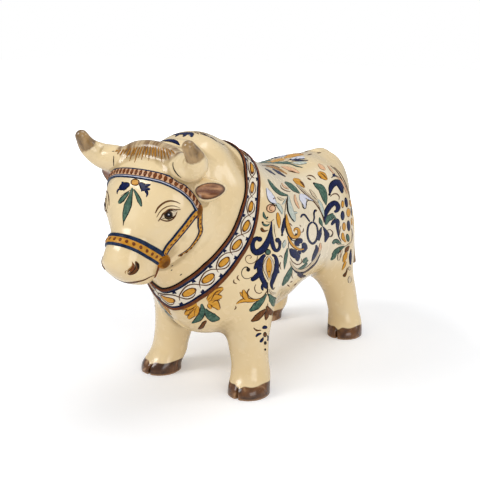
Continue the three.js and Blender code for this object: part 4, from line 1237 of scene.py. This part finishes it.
SHOULDER_MARKS = [
    ("blue", [(271.6, 221), (270.6, 232), (268, 240.4), (264.6, 247), (260, 251.4), (255.8, 252.2),
     (252.8, 248.6),
              (252.8, 242.8), (255.6, 238.8), (259.6, 238.6)],
     [1, 2.8, 4.6, 5.6, 7, 7.6, 6.6, 5.2, 4.6, 4.6]),
    ("blue", (259.6, 239.2), (2.7, 2.7, 0), 1),
    ("blue", [(271.6, 221), (271.2, 233), (272.2, 243), (274.4, 249.2), (277.2, 250.6), (279.4, 247.8),
     (279.8, 243),
              (278.4, 239.8)], [1, 2, 3.2, 4.6, 4.8, 3.6, 3.2, 4.6]),
    ("blue", (277.6, 240.2), (2.6, 2.6, 0), 1),
    ("green", (267.8, 252), (3, 3.2, 0), 2),
    ("white", [(268.8, 255.4), (268.6, 267), (268.9, 281)], [2, 9.6, 12.4, 11, 6, 0.8]),
    ("ochre", [(268.8, 256.8), (268.8, 267), (268.9, 278.6)], [0.8, 5.4, 7, 6.4, 3.8, 0.8], 2),
    ("brown", (268.8, 271.4), (0.8, 1, 0), 4),
    ("blue", [(265.6, 254.4), (262.4, 257.6), (260.2, 263), (259.8, 270), (261.6, 277), (264.8, 283.4),
     (266.2, 289)],
     [2.8, 5.4, 6.4, 6.2, 5.6, 5.4, 3]),
    ("blue", [(261, 258.6), (257.2, 263.8), (254.2, 269.6)], [4, 5, 2.4]),
    ("blue", [(260.4, 272), (256, 276.8), (250.8, 280.6)], [5, 5.6, 4.2]),
    ("blue", [(264, 283), (262.2, 287.6), (263.2, 291)], [4, 3.6, 1.2]),
    ("blue", [(271.6, 254.4), (275.2, 256.6), (276.8, 263), (276, 271), (273.6, 278), (271.6, 284.6),
     (272.6, 289)],
     [2.4, 4, 5, 5.6, 5, 4.4, 1.8]),
    ("blue", [(276.4, 266), (278.9, 273.6)], [4, 2.2]),
    ("brown", [(257.6, 255.6), (256.6, 260.2), (252.2, 263.5), (247.8, 263), (245.4, 259.6), (246.6, 256.2),
               (250, 255.2), (251.4, 257.4), (249.4, 258.6)], [0.7, 0.7]),
    ("line", (248.2, 269.6), (2, 2.2, 0)),
    ("line", [(248.6, 267.6), (245, 267.2), (242, 270.6), (241.8, 275), (244.6, 278.3), (248.6, 278.5),
     (251.8, 276.8)],
     [1.6, 0.9, 0.8, 0.8, 0.8, 0.7, 0.4]),
    ("brown", [(238.8, 274.8), (237.2, 277.8), (240, 281)], [0.5, 1.5, 0.5]),
    ("brown", [(234.2, 279), (233.8, 282.4), (237.2, 284)], [0.5, 1.6, 0.4]),
    ("brown", [(261, 227.4), (262.8, 230.6), (265.6, 231), (268.8, 229.8)], [3, 3.6, 1.5, 0.3]),
    ("green", [(262, 221.8), (264, 224.8), (267.4, 225.4), (270.2, 223.4)], [1.2, 2.6, 2, 0.5]),
    ("line", (262.6, 222.4), (1.1, 1.1, 0), 1),
    ("ochre", [(277.4, 212.2), (278.4, 219), (279, 225), (279, 228.6)], [2.2, 4.8, 4.4, 1.2]),
    ("blue", [(284, 217.6), (283.6, 225), (282.4, 231), (282, 235)], [1, 3.6, 4, 1.2]),
    ("line", (282, 235), (1.1, 1.3, 0), 1),
    ("brown", [(274, 224), (274.4, 231), (276, 238)], [0.5, 0.7, 0.4]),
    ("mint", [(285.4, 239.6), (284.2, 244), (283.4, 248.4)], [1.4, 4.2, 1.4]),
    ("green", [(287.6, 247.6), (286, 256), (285, 263), (284.2, 269.6)], [1, 4, 3.6, 0.7]),
    ("brown", [(278.4, 256.8), (281, 255.8), (282.6, 258.2)], [0.5, 1.2, 0.5]),
    ("brown", [(280.6, 261.6), (279.8, 266), (281.2, 270)], [0.8, 1.3, 0.4]),
    ("ochre", [(236, 304.2), (240, 301.6), (246, 300), (253, 300.6), (260.4, 299)], [0.8, 4, 5.6, 3, 0.8]),
    ("ochre", [(243.2, 289.4), (244.6, 295), (247.2, 300)], [2.4, 7, 5.4], 1),
    ("ochre", [(239.8, 291.6), (242.6, 296.6)], [1.5, 3.4]),
    ("brown", [(249.4, 288.6), (247.4, 292.4), (249.4, 296.6), (255, 299.2), (262, 297.4), (267.4, 290.6)],
     [1.4, 0.8, 0.8, 0.8, 0.8, 0.6], 2),
    ("brown", [(235.4, 305.6), (236, 307.8), (234, 310)], [0.5, 1.6, 0.4]),
    ("green", [(266.8, 293.8), (260.4, 302), (254.4, 307.6), (249.2, 311.2)], [1.4, 6, 8, 2.6]),
    ("green", [(259, 303), (252.6, 305.4)], [4, 2]),
    ("green", [(268.6, 293.8), (272.2, 299.6), (273.8, 306.8)], [1.8, 7.6, 3]),
    ("brown", [(256, 284), (254.6, 288), (256, 292), (259.6, 293.4), (262.4, 291.6)],
     [0.5, 0.9, 1, 0.9, 0.4]),
    ("line", [(267.4, 282), (267.4, 289), (268, 296)], [1, 1.4, 0.8], 2),
    ("line", [(270, 285), (272.6, 289.4), (275.2, 287)], [0.6, 1.4, 0.5]),
    ("white", [(269, 288.6), (271.6, 293), (276.4, 293.4)], [1, 2.6, 1]),
    ("green", [(272, 299), (276.8, 298)], [4, 1.6]),
    ("brown", [(267.8, 303), (267.6, 309)], [0.6, 0.8, 0.6]),
    ("brown", [(266.4, 308.6), (261, 314), (255.8, 318.6), (250.8, 321.4)], [1.4, 6.2, 6.8, 1.8]),
    ("brown", [(266.4, 305.6), (269.2, 311), (271.4, 315.6)], [2, 6.4, 2]),
    ("brown", [(269.4, 309.6), (273.4, 313.4), (275.8, 316.4)], [3, 4, 1.2]),
    ("brown", [(266.4, 311), (266.6, 316), (265.4, 320.4)], [3, 5.2, 1.4]),
    ("blue", [(262, 328.4), (264.8, 327.2), (267.6, 327.8)], [2, 4.2, 2.6]),
    ("brown", [(253.4, 327.6), (256.6, 330.4), (261.6, 330.2)], [0.9, 1.9, 0.7]),
    ("blue", [(255.6, 337), (258.2, 334.4), (261.8, 333.4)], [1.8, 3, 1.2]),
    ("brown", (265, 334.6), (1.9, 2.8, 0)),
    ("blue", [(259.8, 342.4), (262, 340), (263.6, 337)], [2.6, 3.4, 1.2]),
    ("blue", [(267.4, 335), (268.6, 338.6), (267, 341)], [1, 2.6, 1.4]),
    ("line", (265.2, 343), (1.4, 2, 0)),
    ("line", (265.2, 349.6), (0.9, 1.3, 0)),
]
CHEST_MARKS = [
    ("ochre", [(197, 303.6), (190, 305.4), (181, 309.4)], [3.4, 7.3, 2.9]),
    ("ochre", [(197, 304.6), (191, 309.4), (184.6, 315)], [3.4, 8.6, 3.4]),
    ("ochre", [(197.4, 305.4), (193.6, 312), (188, 319)], [3.4, 9.1, 3.4], 1),
    ("ochre", [(198, 306), (196.8, 311.6), (195.2, 316.4)], [3.4, 6.5, 2.6], 2),
    ("brown", [(184.6, 311.4), (189.6, 309.6), (194.6, 306.6)], [0.4, 0.9, 0.4], 3),
    ("brown", [(188.6, 315.8), (191.4, 311.6), (195.4, 308)], [0.4, 0.9, 0.4], 3),
    ("green", [(201.6, 303.6), (202.4, 311), (199.4, 317.6), (191.6, 323.4)], [2.1, 7.3, 7, 1.3]),
    ("ochre", [(207, 300.6), (213, 294), (223.4, 287.6)], [3.4, 9.1, 3.4]),
    ("ochre", [(207.6, 301.6), (215, 297.6), (222.4, 296.6)], [3.4, 9.1, 3.1], 1),
    ("ochre", [(208, 302.6), (214, 303), (219.8, 309.8)], [3.4, 9.6, 3.1], 2),
    ("ochre", [(208, 303.6), (211.4, 309)], [3.4, 5.2, 2.1], 1),
    ("brown", [(210.6, 300.6), (215.6, 292.4), (221, 290)], [0.4, 1.5, 0.5], 3),
    ("brown", [(211.6, 302.6), (216.4, 300), (220.4, 300.4)], [0.4, 1, 0.4], 3),
    ("green", [(205, 308.4), (208, 313.8), (213, 317.6), (220.2, 319)], [2.1, 7.8, 9.6, 2.1]),
    ("green", [(209, 314.6), (213.6, 321.2)], [5.2, 2.1]),
    ("brown", [(206.8, 320.6), (203.8, 323.4), (201.6, 326.8), (197.6, 329.2)], [1.6, 4.4, 4.4, 0.8]),
]
FLANK_MARKS = [
    ("green", [(267.6, 178.8), (271, 184), (275.4, 189.4), (281, 193.6), (288.4, 195.6)],
     [1.2, 3.6, 4.4, 4, 1.6]),
    ("mint", [(288.6, 195.4), (288.8, 203), (290.6, 211.4), (294.2, 218.6), (294.6, 222)],
     [1.6, 4.6, 6.8, 6.6, 1.4]),
    ("mint", [(293, 213), (297.8, 212.6)], [4, 1.6], 1),
    ("line", [(287.6, 196), (287.2, 204), (288.4, 212.6), (292.4, 220), (294.8, 222)],
     [0.8, 1.2, 1.2, 1.2, 0.6], 2),
    ("green", [(284.4, 181.8), (289, 184.6), (294.2, 189), (300, 193.6)], [1.8, 5.4, 5.2, 1]),
    ("ochre", [(292.8, 178.8), (298, 181.6), (302, 184.8), (304.8, 188)], [2.4, 6.4, 5, 1.2]),
    ("brown", [(299.4, 181), (302.6, 184), (304.6, 187.6)], [1, 2.4, 0.8], 2),
    ("brown", [(296, 184.4), (302, 191), (308.4, 197), (315, 203), (321.4, 213), (324.2, 223)],
     [0.6, 1, 1.1, 1.2, 1.2, 0.8]),
    ("white", [(298, 184.4), (304, 190.4), (310.6, 196.6), (317.4, 203), (322.4, 211.6)],
     [0.6, 1.8, 1.8, 1.6, 0.6]),
    ("brown", [(306, 176.8), (309, 175.4), (313, 176.4), (316.2, 179.8)], [0.4, 1.3, 1.1, 0.4]),
    ("brown", [(307, 177.6), (311.4, 180.2)], [1.4, 1.8, 0.6]),
    ("pale", [(266.4, 187.6), (268.8, 193), (271.8, 199), (276.4, 203.6)], [1.4, 6, 8, 2]),
    ("line", [(266.6, 196), (269, 201), (273, 204), (277.6, 206.6)], [0.4, 0.9, 1, 0.4], 1),
    ("brown", [(272.4, 199.6), (274.6, 197.8), (275.4, 199.4)], [0.6, 1.3, 0.6], 2),
    ("mint", [(276, 203), (279, 206.4), (281.6, 211), (282, 214.8)], [2.6, 4.8, 3.8, 1]),
    ("rose", (271, 208.4), (5, 4.7, 0)),
    ("brown", [(275, 207.4), (272.8, 205.4), (269.6, 206.8), (269.8, 210.2), (272.4, 210.2)],
     [0.4, 0.8, 0.8, 0.8, 0.8], 2),
    ("green", [(263.4, 211.6), (264.4, 216.6), (267.6, 219.8)], [1.4, 3.4, 0.8]),
    ("line", (267.4, 217.4), (0.8, 1, 0)),
    ("brown", [(265.6, 221.2), (270, 222.2), (274.4, 218.8)], [0.3, 0.8, 0.3]),
    ("rose", [(294.6, 194), (295.4, 200), (297.4, 205), (299.4, 209)], [1.4, 3.2, 3.2, 1.2]),
    ("brown", [(287, 197.6), (285.8, 204), (285, 211), (284.6, 217.6)], [0.4, 0.8, 0.8, 0.4]),
    ("mint", [(281.6, 205), (284.4, 202), (286, 198)], [0.8, 2.4, 0.8]),
    ("white", [(277, 196.6), (281, 199.2), (284.6, 198.6)], [1.2, 3.2, 1]),
    ("brown", [(280.4, 184.4), (281.4, 188), (285.6, 190.6), (291, 191.8)], [0.4, 1, 0.9, 0.4]),
    ("rose", [(281.4, 182.6), (284, 186.4), (289, 189.4)], [0.8, 2.6, 0.8]),
    ("pale", [(300.4, 193.4), (302.8, 199), (305, 204.6), (304.6, 208.6)], [3.4, 7.2, 4.8, 1.6]),
    ("pale", [(303, 194.8), (308, 198.2), (313.8, 201)], [3.4, 3.2, 0.8]),
    ("line", [(301.6, 203), (303.2, 207.6), (305.6, 208.2), (306.4, 202.4), (309, 200.2), (314, 201.6)],
     [0.4, 1, 1, 0.9, 0.8, 0.4], 1),
    ("blue", [(300.6, 218), (302, 215.2), (304.6, 214.8), (307, 217.8), (310, 222)], [1.2, 2.4, 2, 1.8, 1.4]),
    ("blue", [(315.6, 209.2), (314, 213), (314.2, 218), (313, 222)], [2.4, 2, 1.7, 1.4]),
    ("brown", (316, 210.6), (0.9, 1.2, 0), 1),
    ("blue", [(312.6, 221.6), (308.8, 225.2), (307.4, 232.6), (308.8, 240), (312.6, 243.6), (316.4, 240),
     (317.8, 232.6),
              (316.4, 225.2), (312.6, 221.6)], [2, 2.2, 2.3, 2.3, 2.6, 2.3, 2.2, 2, 2]),
    ("blue", [(321.6, 226.8), (319.8, 233), (318.8, 241.2)], [1, 4.8, 1.4]),
    ("blue", [(323.4, 227.8), (326.8, 234.6), (324.8, 242.4)], [1.4, 6.2, 1.4]),
    ("green", [(319.4, 217), (320.6, 222), (322.8, 227)], [1.2, 4.2, 0.7]),
    ("brown", [(326.4, 230.6), (330, 229.6), (332.8, 232.4), (332.2, 236), (329.8, 237.2)],
     [0.4, 0.9, 1, 0.9, 0.4]),
    ("ochre", [(286.4, 213.6), (287.4, 224), (289.4, 231.6), (293.2, 236.8), (297.2, 236.4), (299.2, 232.4),
               (297.4, 228.6), (294.6, 229.4), (294.2, 232)], [1, 3, 5, 6.6, 5, 4.2, 4, 3.2, 1.2]),
    ("line", (296, 234.4), (1.1, 1.1, 0), 3),
    ("line", [(284.8, 213), (285.4, 225), (288.2, 234.6), (292.6, 240.4), (297.4, 240.2)],
     [0.8, 1.5, 1.8, 1.6, 0.6], 1),
    ("brown", [(289.6, 223), (292.4, 226.4)], [1.3, 0.5]),
    ("brown", [(299.4, 224.6), (301.4, 227.4)], [0.5, 1, 0.4]),
    ("brown", [(303.6, 227.8), (303, 231.6), (300.2, 232.6)], [0.4, 1.1, 0.4]),
    ("blue", [(295, 245.4), (298.6, 242), (302.4, 238.8)], [6, 8.4, 3.6]),
    ("blue", [(303, 242.4), (304.6, 247.4), (302.2, 253)], [4.6, 6.6, 2.8]),
    ("blue", [(289.6, 248.6), (293.6, 253), (297, 256.6), (297.6, 261.6)], [2.4, 8.4, 8, 1.8]),
    ("blue", [(299, 250), (300.4, 254.6)], [5, 2.6]),
    ("ochre", [(287.4, 235.6), (290, 241.4), (294, 246.4), (299, 249.4), (304.4, 248.8)],
     [1.2, 3, 3.4, 2.8, 0.8], 2),
    ("brown", [(289.8, 257.2), (293, 262), (297.8, 264.6), (301.6, 262.4), (301.4, 258.2)],
     [0.4, 1, 1.1, 1, 0.4]),
    ("white", [(290, 260.6), (293, 267), (298, 270.4), (304, 270), (310, 265.6), (315.4, 259.6), (319.2, 252),
               (319.8, 246.4)], [1.4, 3, 3.4, 3.2, 3.2, 3.2, 3, 1.2]),
    ("blue", [(291.4, 267), (296.6, 272.4), (302.4, 273), (309.4, 269), (315.6, 262.8), (320.4, 253.4)],
     [0.8, 1.8, 2, 1.9, 1.7, 0.8], 1),
    ("blue", [(316, 244.6), (316.8, 249.4), (314.8, 255), (311.6, 261.6)], [1.6, 5, 4.4, 1.2]),
    ("rose", [(320.4, 242.6), (320.2, 248), (318.4, 253)], [1.6, 3.6, 1.4]),
    ("green", [(303.4, 263.6), (305, 260.4), (307.2, 257.2)], [3.6, 5, 1.2]),
    ("green", [(304, 262.6), (308.6, 259.8)], [4, 1.6]),
    ("green", [(297.6, 269.6), (303, 267), (307.6, 262.6)], [1.4, 3.6, 2]),
    ("blue", [(297, 274), (301.6, 276), (306.4, 276.6)], [2.4, 5, 2]),
    ("green", [(292.2, 265.6), (289.6, 273), (286, 279.6), (282.2, 286)], [1.4, 5.6, 6, 2]),
    ("brown", [(287, 284.4), (290, 287.2)], [0.8, 1.3, 0.4]),
    ("brown", [(290, 282.6), (292.8, 280.8)], [0.8, 1.2, 0.4]),
    ("brown", [(293.8, 285.8), (296.8, 283.2)], [0.6, 1.3, 0.4]),
    ("brown", [(292.4, 271), (291.8, 275.6), (293.2, 279)], [0.4, 0.9, 0.4]),
    ("line", [(289.4, 238.4), (288.4, 246), (290.2, 253)], [0.4, 0.9, 0.4]),
    ("blue", [(322.6, 226), (325.4, 231), (324.6, 236.6)], [0.8, 3.6, 0.8]),
    ("blue", [(316.6, 240.6), (319.6, 236.6), (320.6, 231.6)], [0.8, 3.4, 0.8]),
    ("green", [(329.6, 214.4), (333.6, 216), (336.6, 220.6)], [0.8, 2.8, 0.8]),
    ("line", [(326.6, 236.6), (330.6, 236.4), (332.6, 232.6), (330.6, 229.6)], [0.3, 0.8, 0.6, 0.3]),
    ("brown", [(338.6, 247.6), (340.6, 252.6), (339.6, 258.6)], [0.6, 2.2, 0.6]),
    ("line", [(333.6, 240.6), (338.6, 244.6), (344.6, 244.6)], [0.3, 0.7, 0.3]),
]
HAUNCH_MARKS = [
    ("rose", [(318, 163.6), (321, 166.6), (325.6, 170)], [2, 5, 2]),
    ("ochre", [(317.6, 172.4), (322, 175), (327.4, 180)], [4, 7.6, 2.4]),
    ("brown", [(320, 172.6), (323.6, 175.4), (327.2, 179.4)], [0.5, 1.2, 0.5], 2),
    ("brown", [(318.4, 175.6), (321.6, 178.6)], [0.5, 1.2, 0.4], 2),
    ("rose", [(327, 165), (331, 170), (334.4, 174.6)], [0.8, 2.2, 0.8]),
    ("brown", [(330, 165.2), (336, 170.4), (341, 178), (345, 186), (347.4, 193)], [0.4, 0.9, 1, 1, 0.4]),
    ("brown", [(333.6, 166.6), (339.4, 172.4), (344, 180), (347.8, 190), (350, 199)],
     [0.4, 0.8, 0.9, 0.9, 0.4]),
    ("rose", [(336, 176.2), (341, 180.4), (344.8, 187), (347, 194)], [0.8, 2.2, 2.6, 1]),
    ("blue", [(329.6, 194.6), (331.2, 187), (334.4, 183), (338.2, 183), (341, 187.4), (342.4, 193.6)],
     [1.2, 5, 7, 7, 5.6, 1.8]),
    ("line", (329.4, 194.4), (1.2, 1.4, 0), 1),
    ("line", [(341.4, 190), (343.8, 191.8)], [1, 2, 0.6], 1),
    ("blue", [(331, 178), (335, 175.8), (340.2, 178.2)], [0.8, 1.5, 0.6]),
    ("blue", [(333, 173), (335, 177)], [2.4, 3.4, 1.6]),
    ("brown", [(329.8, 197), (333, 194.2), (337, 194), (339.2, 197), (338.6, 200.4)],
     [0.4, 1.2, 1.3, 1, 0.4]),
    ("green", [(313.8, 183.2), (317.6, 186), (321.4, 188.6), (324, 195), (326.2, 205.4)],
     [2.4, 7, 7.8, 5.8, 0.8]),
    ("line", (313.9, 183.4), (1, 1.2, 0), 1),
    ("mint", [(318, 199), (320.4, 205), (322.4, 211), (324, 217)], [1.2, 4.6, 4, 0.8]),
    ("white", [(309.4, 189), (313, 194), (317.4, 200)], [1.4, 4, 1.4]),
    ("blue", [(324.4, 222.6), (326, 213), (330, 206), (334.8, 203), (338, 206.2), (337.2, 210.4),
     (333.8, 212)],
     [1, 3.8, 5.4, 6, 5.4, 5, 2.4]),
    ("green", [(325.4, 225), (328.6, 218), (333.4, 213.2)], [2.4, 6.4, 1.8]),
    ("green", [(328.6, 219.6), (334.2, 217.6)], [4.6, 1.4]),
    ("blue", [(331.2, 225.4), (334, 221.6), (337.4, 221), (337.6, 228), (338.6, 236), (341.4, 242)],
     [2, 5, 4.4, 2.8, 1.4, 0.6]),
    ("ochre", (342.6, 204.2), (3.9, 1.6, 90)),
    ("blue", (346.2, 202.4), (5.2, 1.8, 82)),
    ("ochre", (350.4, 203.4), (3.6, 1.2, 80)),
    ("blue", (342.6, 215.6), (4.9, 2.2, 90)),
    ("ochre", (348.4, 212.6), (4.6, 2.2, 90)),
    ("blue", (351.8, 211.6), (4.4, 1.2, 86)),
    ("blue", (348.6, 225.8), (5.6, 1.9, 86)),
    ("ochre", (344, 226.6), (4.4, 2, 90)),
    ("ochre", (351.8, 221.6), (4, 1, 88)),
    ("brown", [(341, 225.6), (339.8, 231), (339.2, 236)], [0.5, 1.1, 0.4]),
    ("ochre", [(342.6, 232.4), (343.2, 238), (346, 242.4)], [2.4, 4.2, 1.4]),
    ("green", (347.8, 237.8), (4.2, 1.9, 80)),
    ("brown", [(351.6, 228), (352.2, 235), (351.4, 242)], [0.5, 0.9, 0.4]),
    ("green", [(332.4, 244.2), (335.6, 241), (341.6, 243.8)], [2.4, 5, 1]),
    ("white", [(343.6, 247.2), (348.6, 244.6), (352, 240.6)], [0.8, 1.8, 0.8]),
    ("green", [(345.2, 246), (340, 248.6), (335.4, 252.2), (332, 255.4)], [1, 4.4, 5.6, 2]),
    ("green", [(336, 253), (333, 257.6), (330.6, 260.4)], [3.6, 4.6, 1.6]),
    ("white", [(342.4, 249.6), (339.6, 255), (338.2, 261)], [1.4, 4.6, 2.4]),
    ("brown", [(349.6, 245.8), (347, 249), (345.4, 253.4)], [1, 4.4, 2]),
    ("ochre", [(346.8, 251.6), (345, 257), (343.2, 262.6)], [2.6, 4.8, 2], 1),
    ("ochre", [(345.8, 261), (344, 266), (341.8, 270.6)], [2.4, 3.2, 0.8]),
    ("blue", [(351, 248.6), (350.4, 256), (350.4, 265)], [1, 3.4, 1.8]),
    ("brown", [(347.2, 267.4), (346.4, 272), (343.4, 277)], [0.8, 2, 4.2]),
    ("white", (349.4, 268.4), (1.9, 1.7, 90)),
    ("white", [(350, 275.6), (349.4, 283.4)], [1.8, 4.2, 2.6]),
]
BACK_MARKS = [
    ("hair", [(265.6, 166), (274, 167.4), (281, 170.4), (287.4, 174.4)], [0.8, 2.2, 2.4, 0.7]),
    ("blue", [(272, 168.4), (279, 172.6), (286, 177)], [0.8, 3, 0.8]),
    ("blue", [(264.6, 168.2), (270, 171.4), (275.8, 175.2)], [0.8, 2.2, 0.7]),
    ("brown", [(261.6, 165.4), (272, 165.2), (280.4, 168)], [0.5, 1, 0.5]),
    ("green", [(259.8, 163.2), (265, 161.4), (271, 160.6)], [0.8, 2.8, 2]),
    ("ochre", [(270.8, 163), (276, 160.8), (283, 158.8)], [1.2, 3.6, 1.6]),
    ("blue", [(274.4, 158.4), (279, 157), (283.6, 156)], [0.8, 2, 0.8]),
    ("ochre", [(284, 157.6), (291, 156), (298, 155), (304, 154)], [1.6, 3, 2.6, 1]),
    ("white", [(283.6, 161), (289.4, 159)], [1.6, 3.4, 1.6]),
    ("green", [(282, 163.8), (290, 163.8), (296, 166), (303, 167.6)], [0.5, 1.3, 1.5, 0.8]),
    ("pale", [(290.6, 159.4), (297, 158), (305, 157.4)], [1.6, 3.6, 2]),
    ("mint", [(292.6, 163), (299, 163), (307.4, 162.6)], [1.8, 4, 2]),
    ("blue", [(291, 161.2), (299, 160.6), (308.6, 160.4)], [0.6, 1.4, 0.6], 1),
    ("rose", [(280.8, 166.4), (287, 168), (294, 170.6), (300, 173.2)], [1, 3.8, 4.6, 1]),
    ("brown", [(288, 171), (292, 171.4), (296.4, 173)], [0.5, 1.1, 0.4], 2),
    ("brown", [(307, 155), (312.4, 153.8)], [0.5, 1.2, 0.4]),
    ("brown", [(316.4, 153), (321.6, 152.6)], [0.5, 1.2, 0.4]),
]
# The locks of the forelock: where each one ends, and how far right of that it starts
HAIR_LOCKS = [
    (114.8, 152, 3.6), (117, 154.6, 4), (119.8, 156.2, 4.6), (123, 154.8, 4.6), (126.2, 158.4, 5.2),
    (129.4, 161.6, 5.4), (132.6, 156.8, 4.6), (134.4, 163, 5.6), (138.4, 158.4, 4), (141.4, 160.4, 3.6),
    (145.4, 157.4, 2.6), (148.6, 161, 2), (152.4, 157.8, 1.2), (155.2, 159.4, 0.4), (158.6, 157.2, 0),
    (161.8, 162.4, -1), (164.8, 158.4, -1.8), (168.6, 159.6, -2.6), (171.4, 157.4, -3.4), (175, 154.6, -4),
]
# The line on which they start is an arch: its middle, and how fast it falls away
HAIR_MIDDLE = (146, 146)
HAIR_DROP = 0.0042


def hair_marks():
    """Pointed locks that fall from the forelock."""
    marks = []
    for x, y, lean in HAIR_LOCKS:
        top = HAIR_MIDDLE[1] + HAIR_DROP * (x - HAIR_MIDDLE[0]) ** 2
        root = (x + lean, top)
        bend = (x + 0.42 * lean, (top + y) / 2)
        marks.append(("hair", [root, bend, (x, y)], [1.2, 1.9, 0.4]))
    return marks


paint("collar_paint", on_collar_mm, collar_marks(), sides=("round",), base=COLLAR_RISE)
paint("eye", on_photo, EYE_MARKS, spacing=0.6)
paint("nostril", on_photo, NOSTRIL_MARKS)
paint("mouth", on_photo, MOUTH_MARKS)
paint("forehead", on_photo, FOREHEAD_MARKS, sides=("middle",))
paint("horn_root", on_photo_all, HORN_MARKS, sides=("middle",))
paint("hump", on_top, HUMP_MARKS, sides=("middle",))
paint("shoulder", on_photo, SHOULDER_MARKS)
paint("chest", on_photo, CHEST_MARKS)
paint("flank", on_photo, FLANK_MARKS)
paint("haunch", on_photo, HAUNCH_MARKS)
paint("back", on_photo, BACK_MARKS)
paint("hair_lock", on_photo_all, hair_marks(), sides=("middle",))
# The studio: a pale floor that shows white to the camera from some way off, soft lamps and a dim sky
FLOOR_SIZE = 3.6
FLOOR_DROP = 0.00008
FLOOR_COLOUR = (0.9, 0.9, 0.91, 1)
FLOOR_GLOW = 0.2
WHITE_GLOW = 1.2
GLOW_STARTS, GLOW_ENDS = 0.2, 0.6
SKY_COLOUR = (0.96, 0.98, 1.0, 1)
SKY_STRENGTH = 0.4
LAMP_AIM = Vector((0, 0, 0.1))
# Each lamp's place in metres, its watts and its width
LAMPS = {
    "key": ((-0.7, -1.0, 1.0), 8.3, 0.6),
    "fill": ((1.1, -0.7, 0.5), 5.4, 0.8),
    "window": ((0.85, 0.75, 0.7), 1.4, 0.4),
    "top": ((0.1, 0.2, 1.4), 6, 0.8),
}


def link(name, data):
    """A new object in the scene."""
    made = bpy.data.objects.new(name, data)
    bpy.context.scene.collection.objects.link(made)
    return made


def floor():
    """A wide floor. The camera also sees it glow, so that it fades to white round the figure's shadow."""
    mesh = bpy.data.meshes.new("floor")
    corners = [(x * FLOOR_SIZE, y * FLOOR_SIZE, -FLOOR_DROP) for x, y in ((-1, -1), (1, -1), (1, 1), (-1, 1))]
    mesh.from_pydata(corners, [], [(0, 1, 2, 3)])
    r = Recipe("floor")
    inputs = r.shader.inputs
    inputs["Base Color"].default_value = FLOOR_COLOUR
    inputs["Roughness"].default_value = 0.9
    inputs["Specular IOR Level"].default_value = 0
    inputs["Emission Color"].default_value = (1, 1, 1, 1)
    away = r.node("VectorMath", operation="LENGTH")
    r.feed(away.inputs[0], r.place())
    rise = r.stretch(away.outputs["Value"], GLOW_STARTS, GLOW_ENDS, FLOOR_GLOW, WHITE_GLOW)
    seen = r.node("LightPath").outputs["Is Camera Ray"]
    r.feed(inputs["Emission Strength"], r.maths("MULTIPLY", seen, rise))
    mesh.materials.append(r.material)
    link("floor", mesh)


def world():
    """A dim sky that the camera sees as white."""
    made = bpy.data.worlds.new("studio")
    bpy.context.scene.world = made
    made.use_nodes = True
    nodes, links = made.node_tree.nodes, made.node_tree.links
    nodes.clear()
    mix = nodes.new("ShaderNodeMixShader")
    for i, (colour, strength) in enumerate(((SKY_COLOUR, SKY_STRENGTH), ((1, 1, 1, 1), 1)), 1):
        glow = nodes.new("ShaderNodeBackground")
        glow.inputs["Color"].default_value = colour
        glow.inputs["Strength"].default_value = strength
        links.new(glow.outputs[0], mix.inputs[i])
    links.new(nodes.new("ShaderNodeLightPath").outputs["Is Camera Ray"], mix.inputs[0])
    links.new(mix.outputs[0], nodes.new("ShaderNodeOutputWorld").inputs["Surface"])


def lamp(name, place, watts, size):
    """A square soft light that faces the middle of the bull."""
    data = bpy.data.lights.new(name, "AREA")
    data.energy = watts
    data.size = size
    made = link(name, data)
    made.location = place
    made.rotation_euler = (LAMP_AIM - made.location).to_track_quat("-Z", "Y").to_euler()


def camera():
    """The photograph's camera."""
    data = bpy.data.cameras.new("camera")
    data.sensor_width = SENSOR_MM
    data.lens = SENSOR_MM * FOCAL_PIXELS / PICTURE
    data.clip_start = 0.01
    data.clip_end = 20
    made = link("camera", data)
    made.location = (CAMERA_PLACE + MIDDLE) * MM
    made.rotation_euler = Vector(camera_axes()[2]).to_track_quat("Z", "Y").to_euler()
    bpy.context.scene.camera = made


floor()
world()
for lamp_name, settings in LAMPS.items():
    lamp(lamp_name, *settings)
camera()
bpy.context.scene.view_settings.view_transform = "Standard"
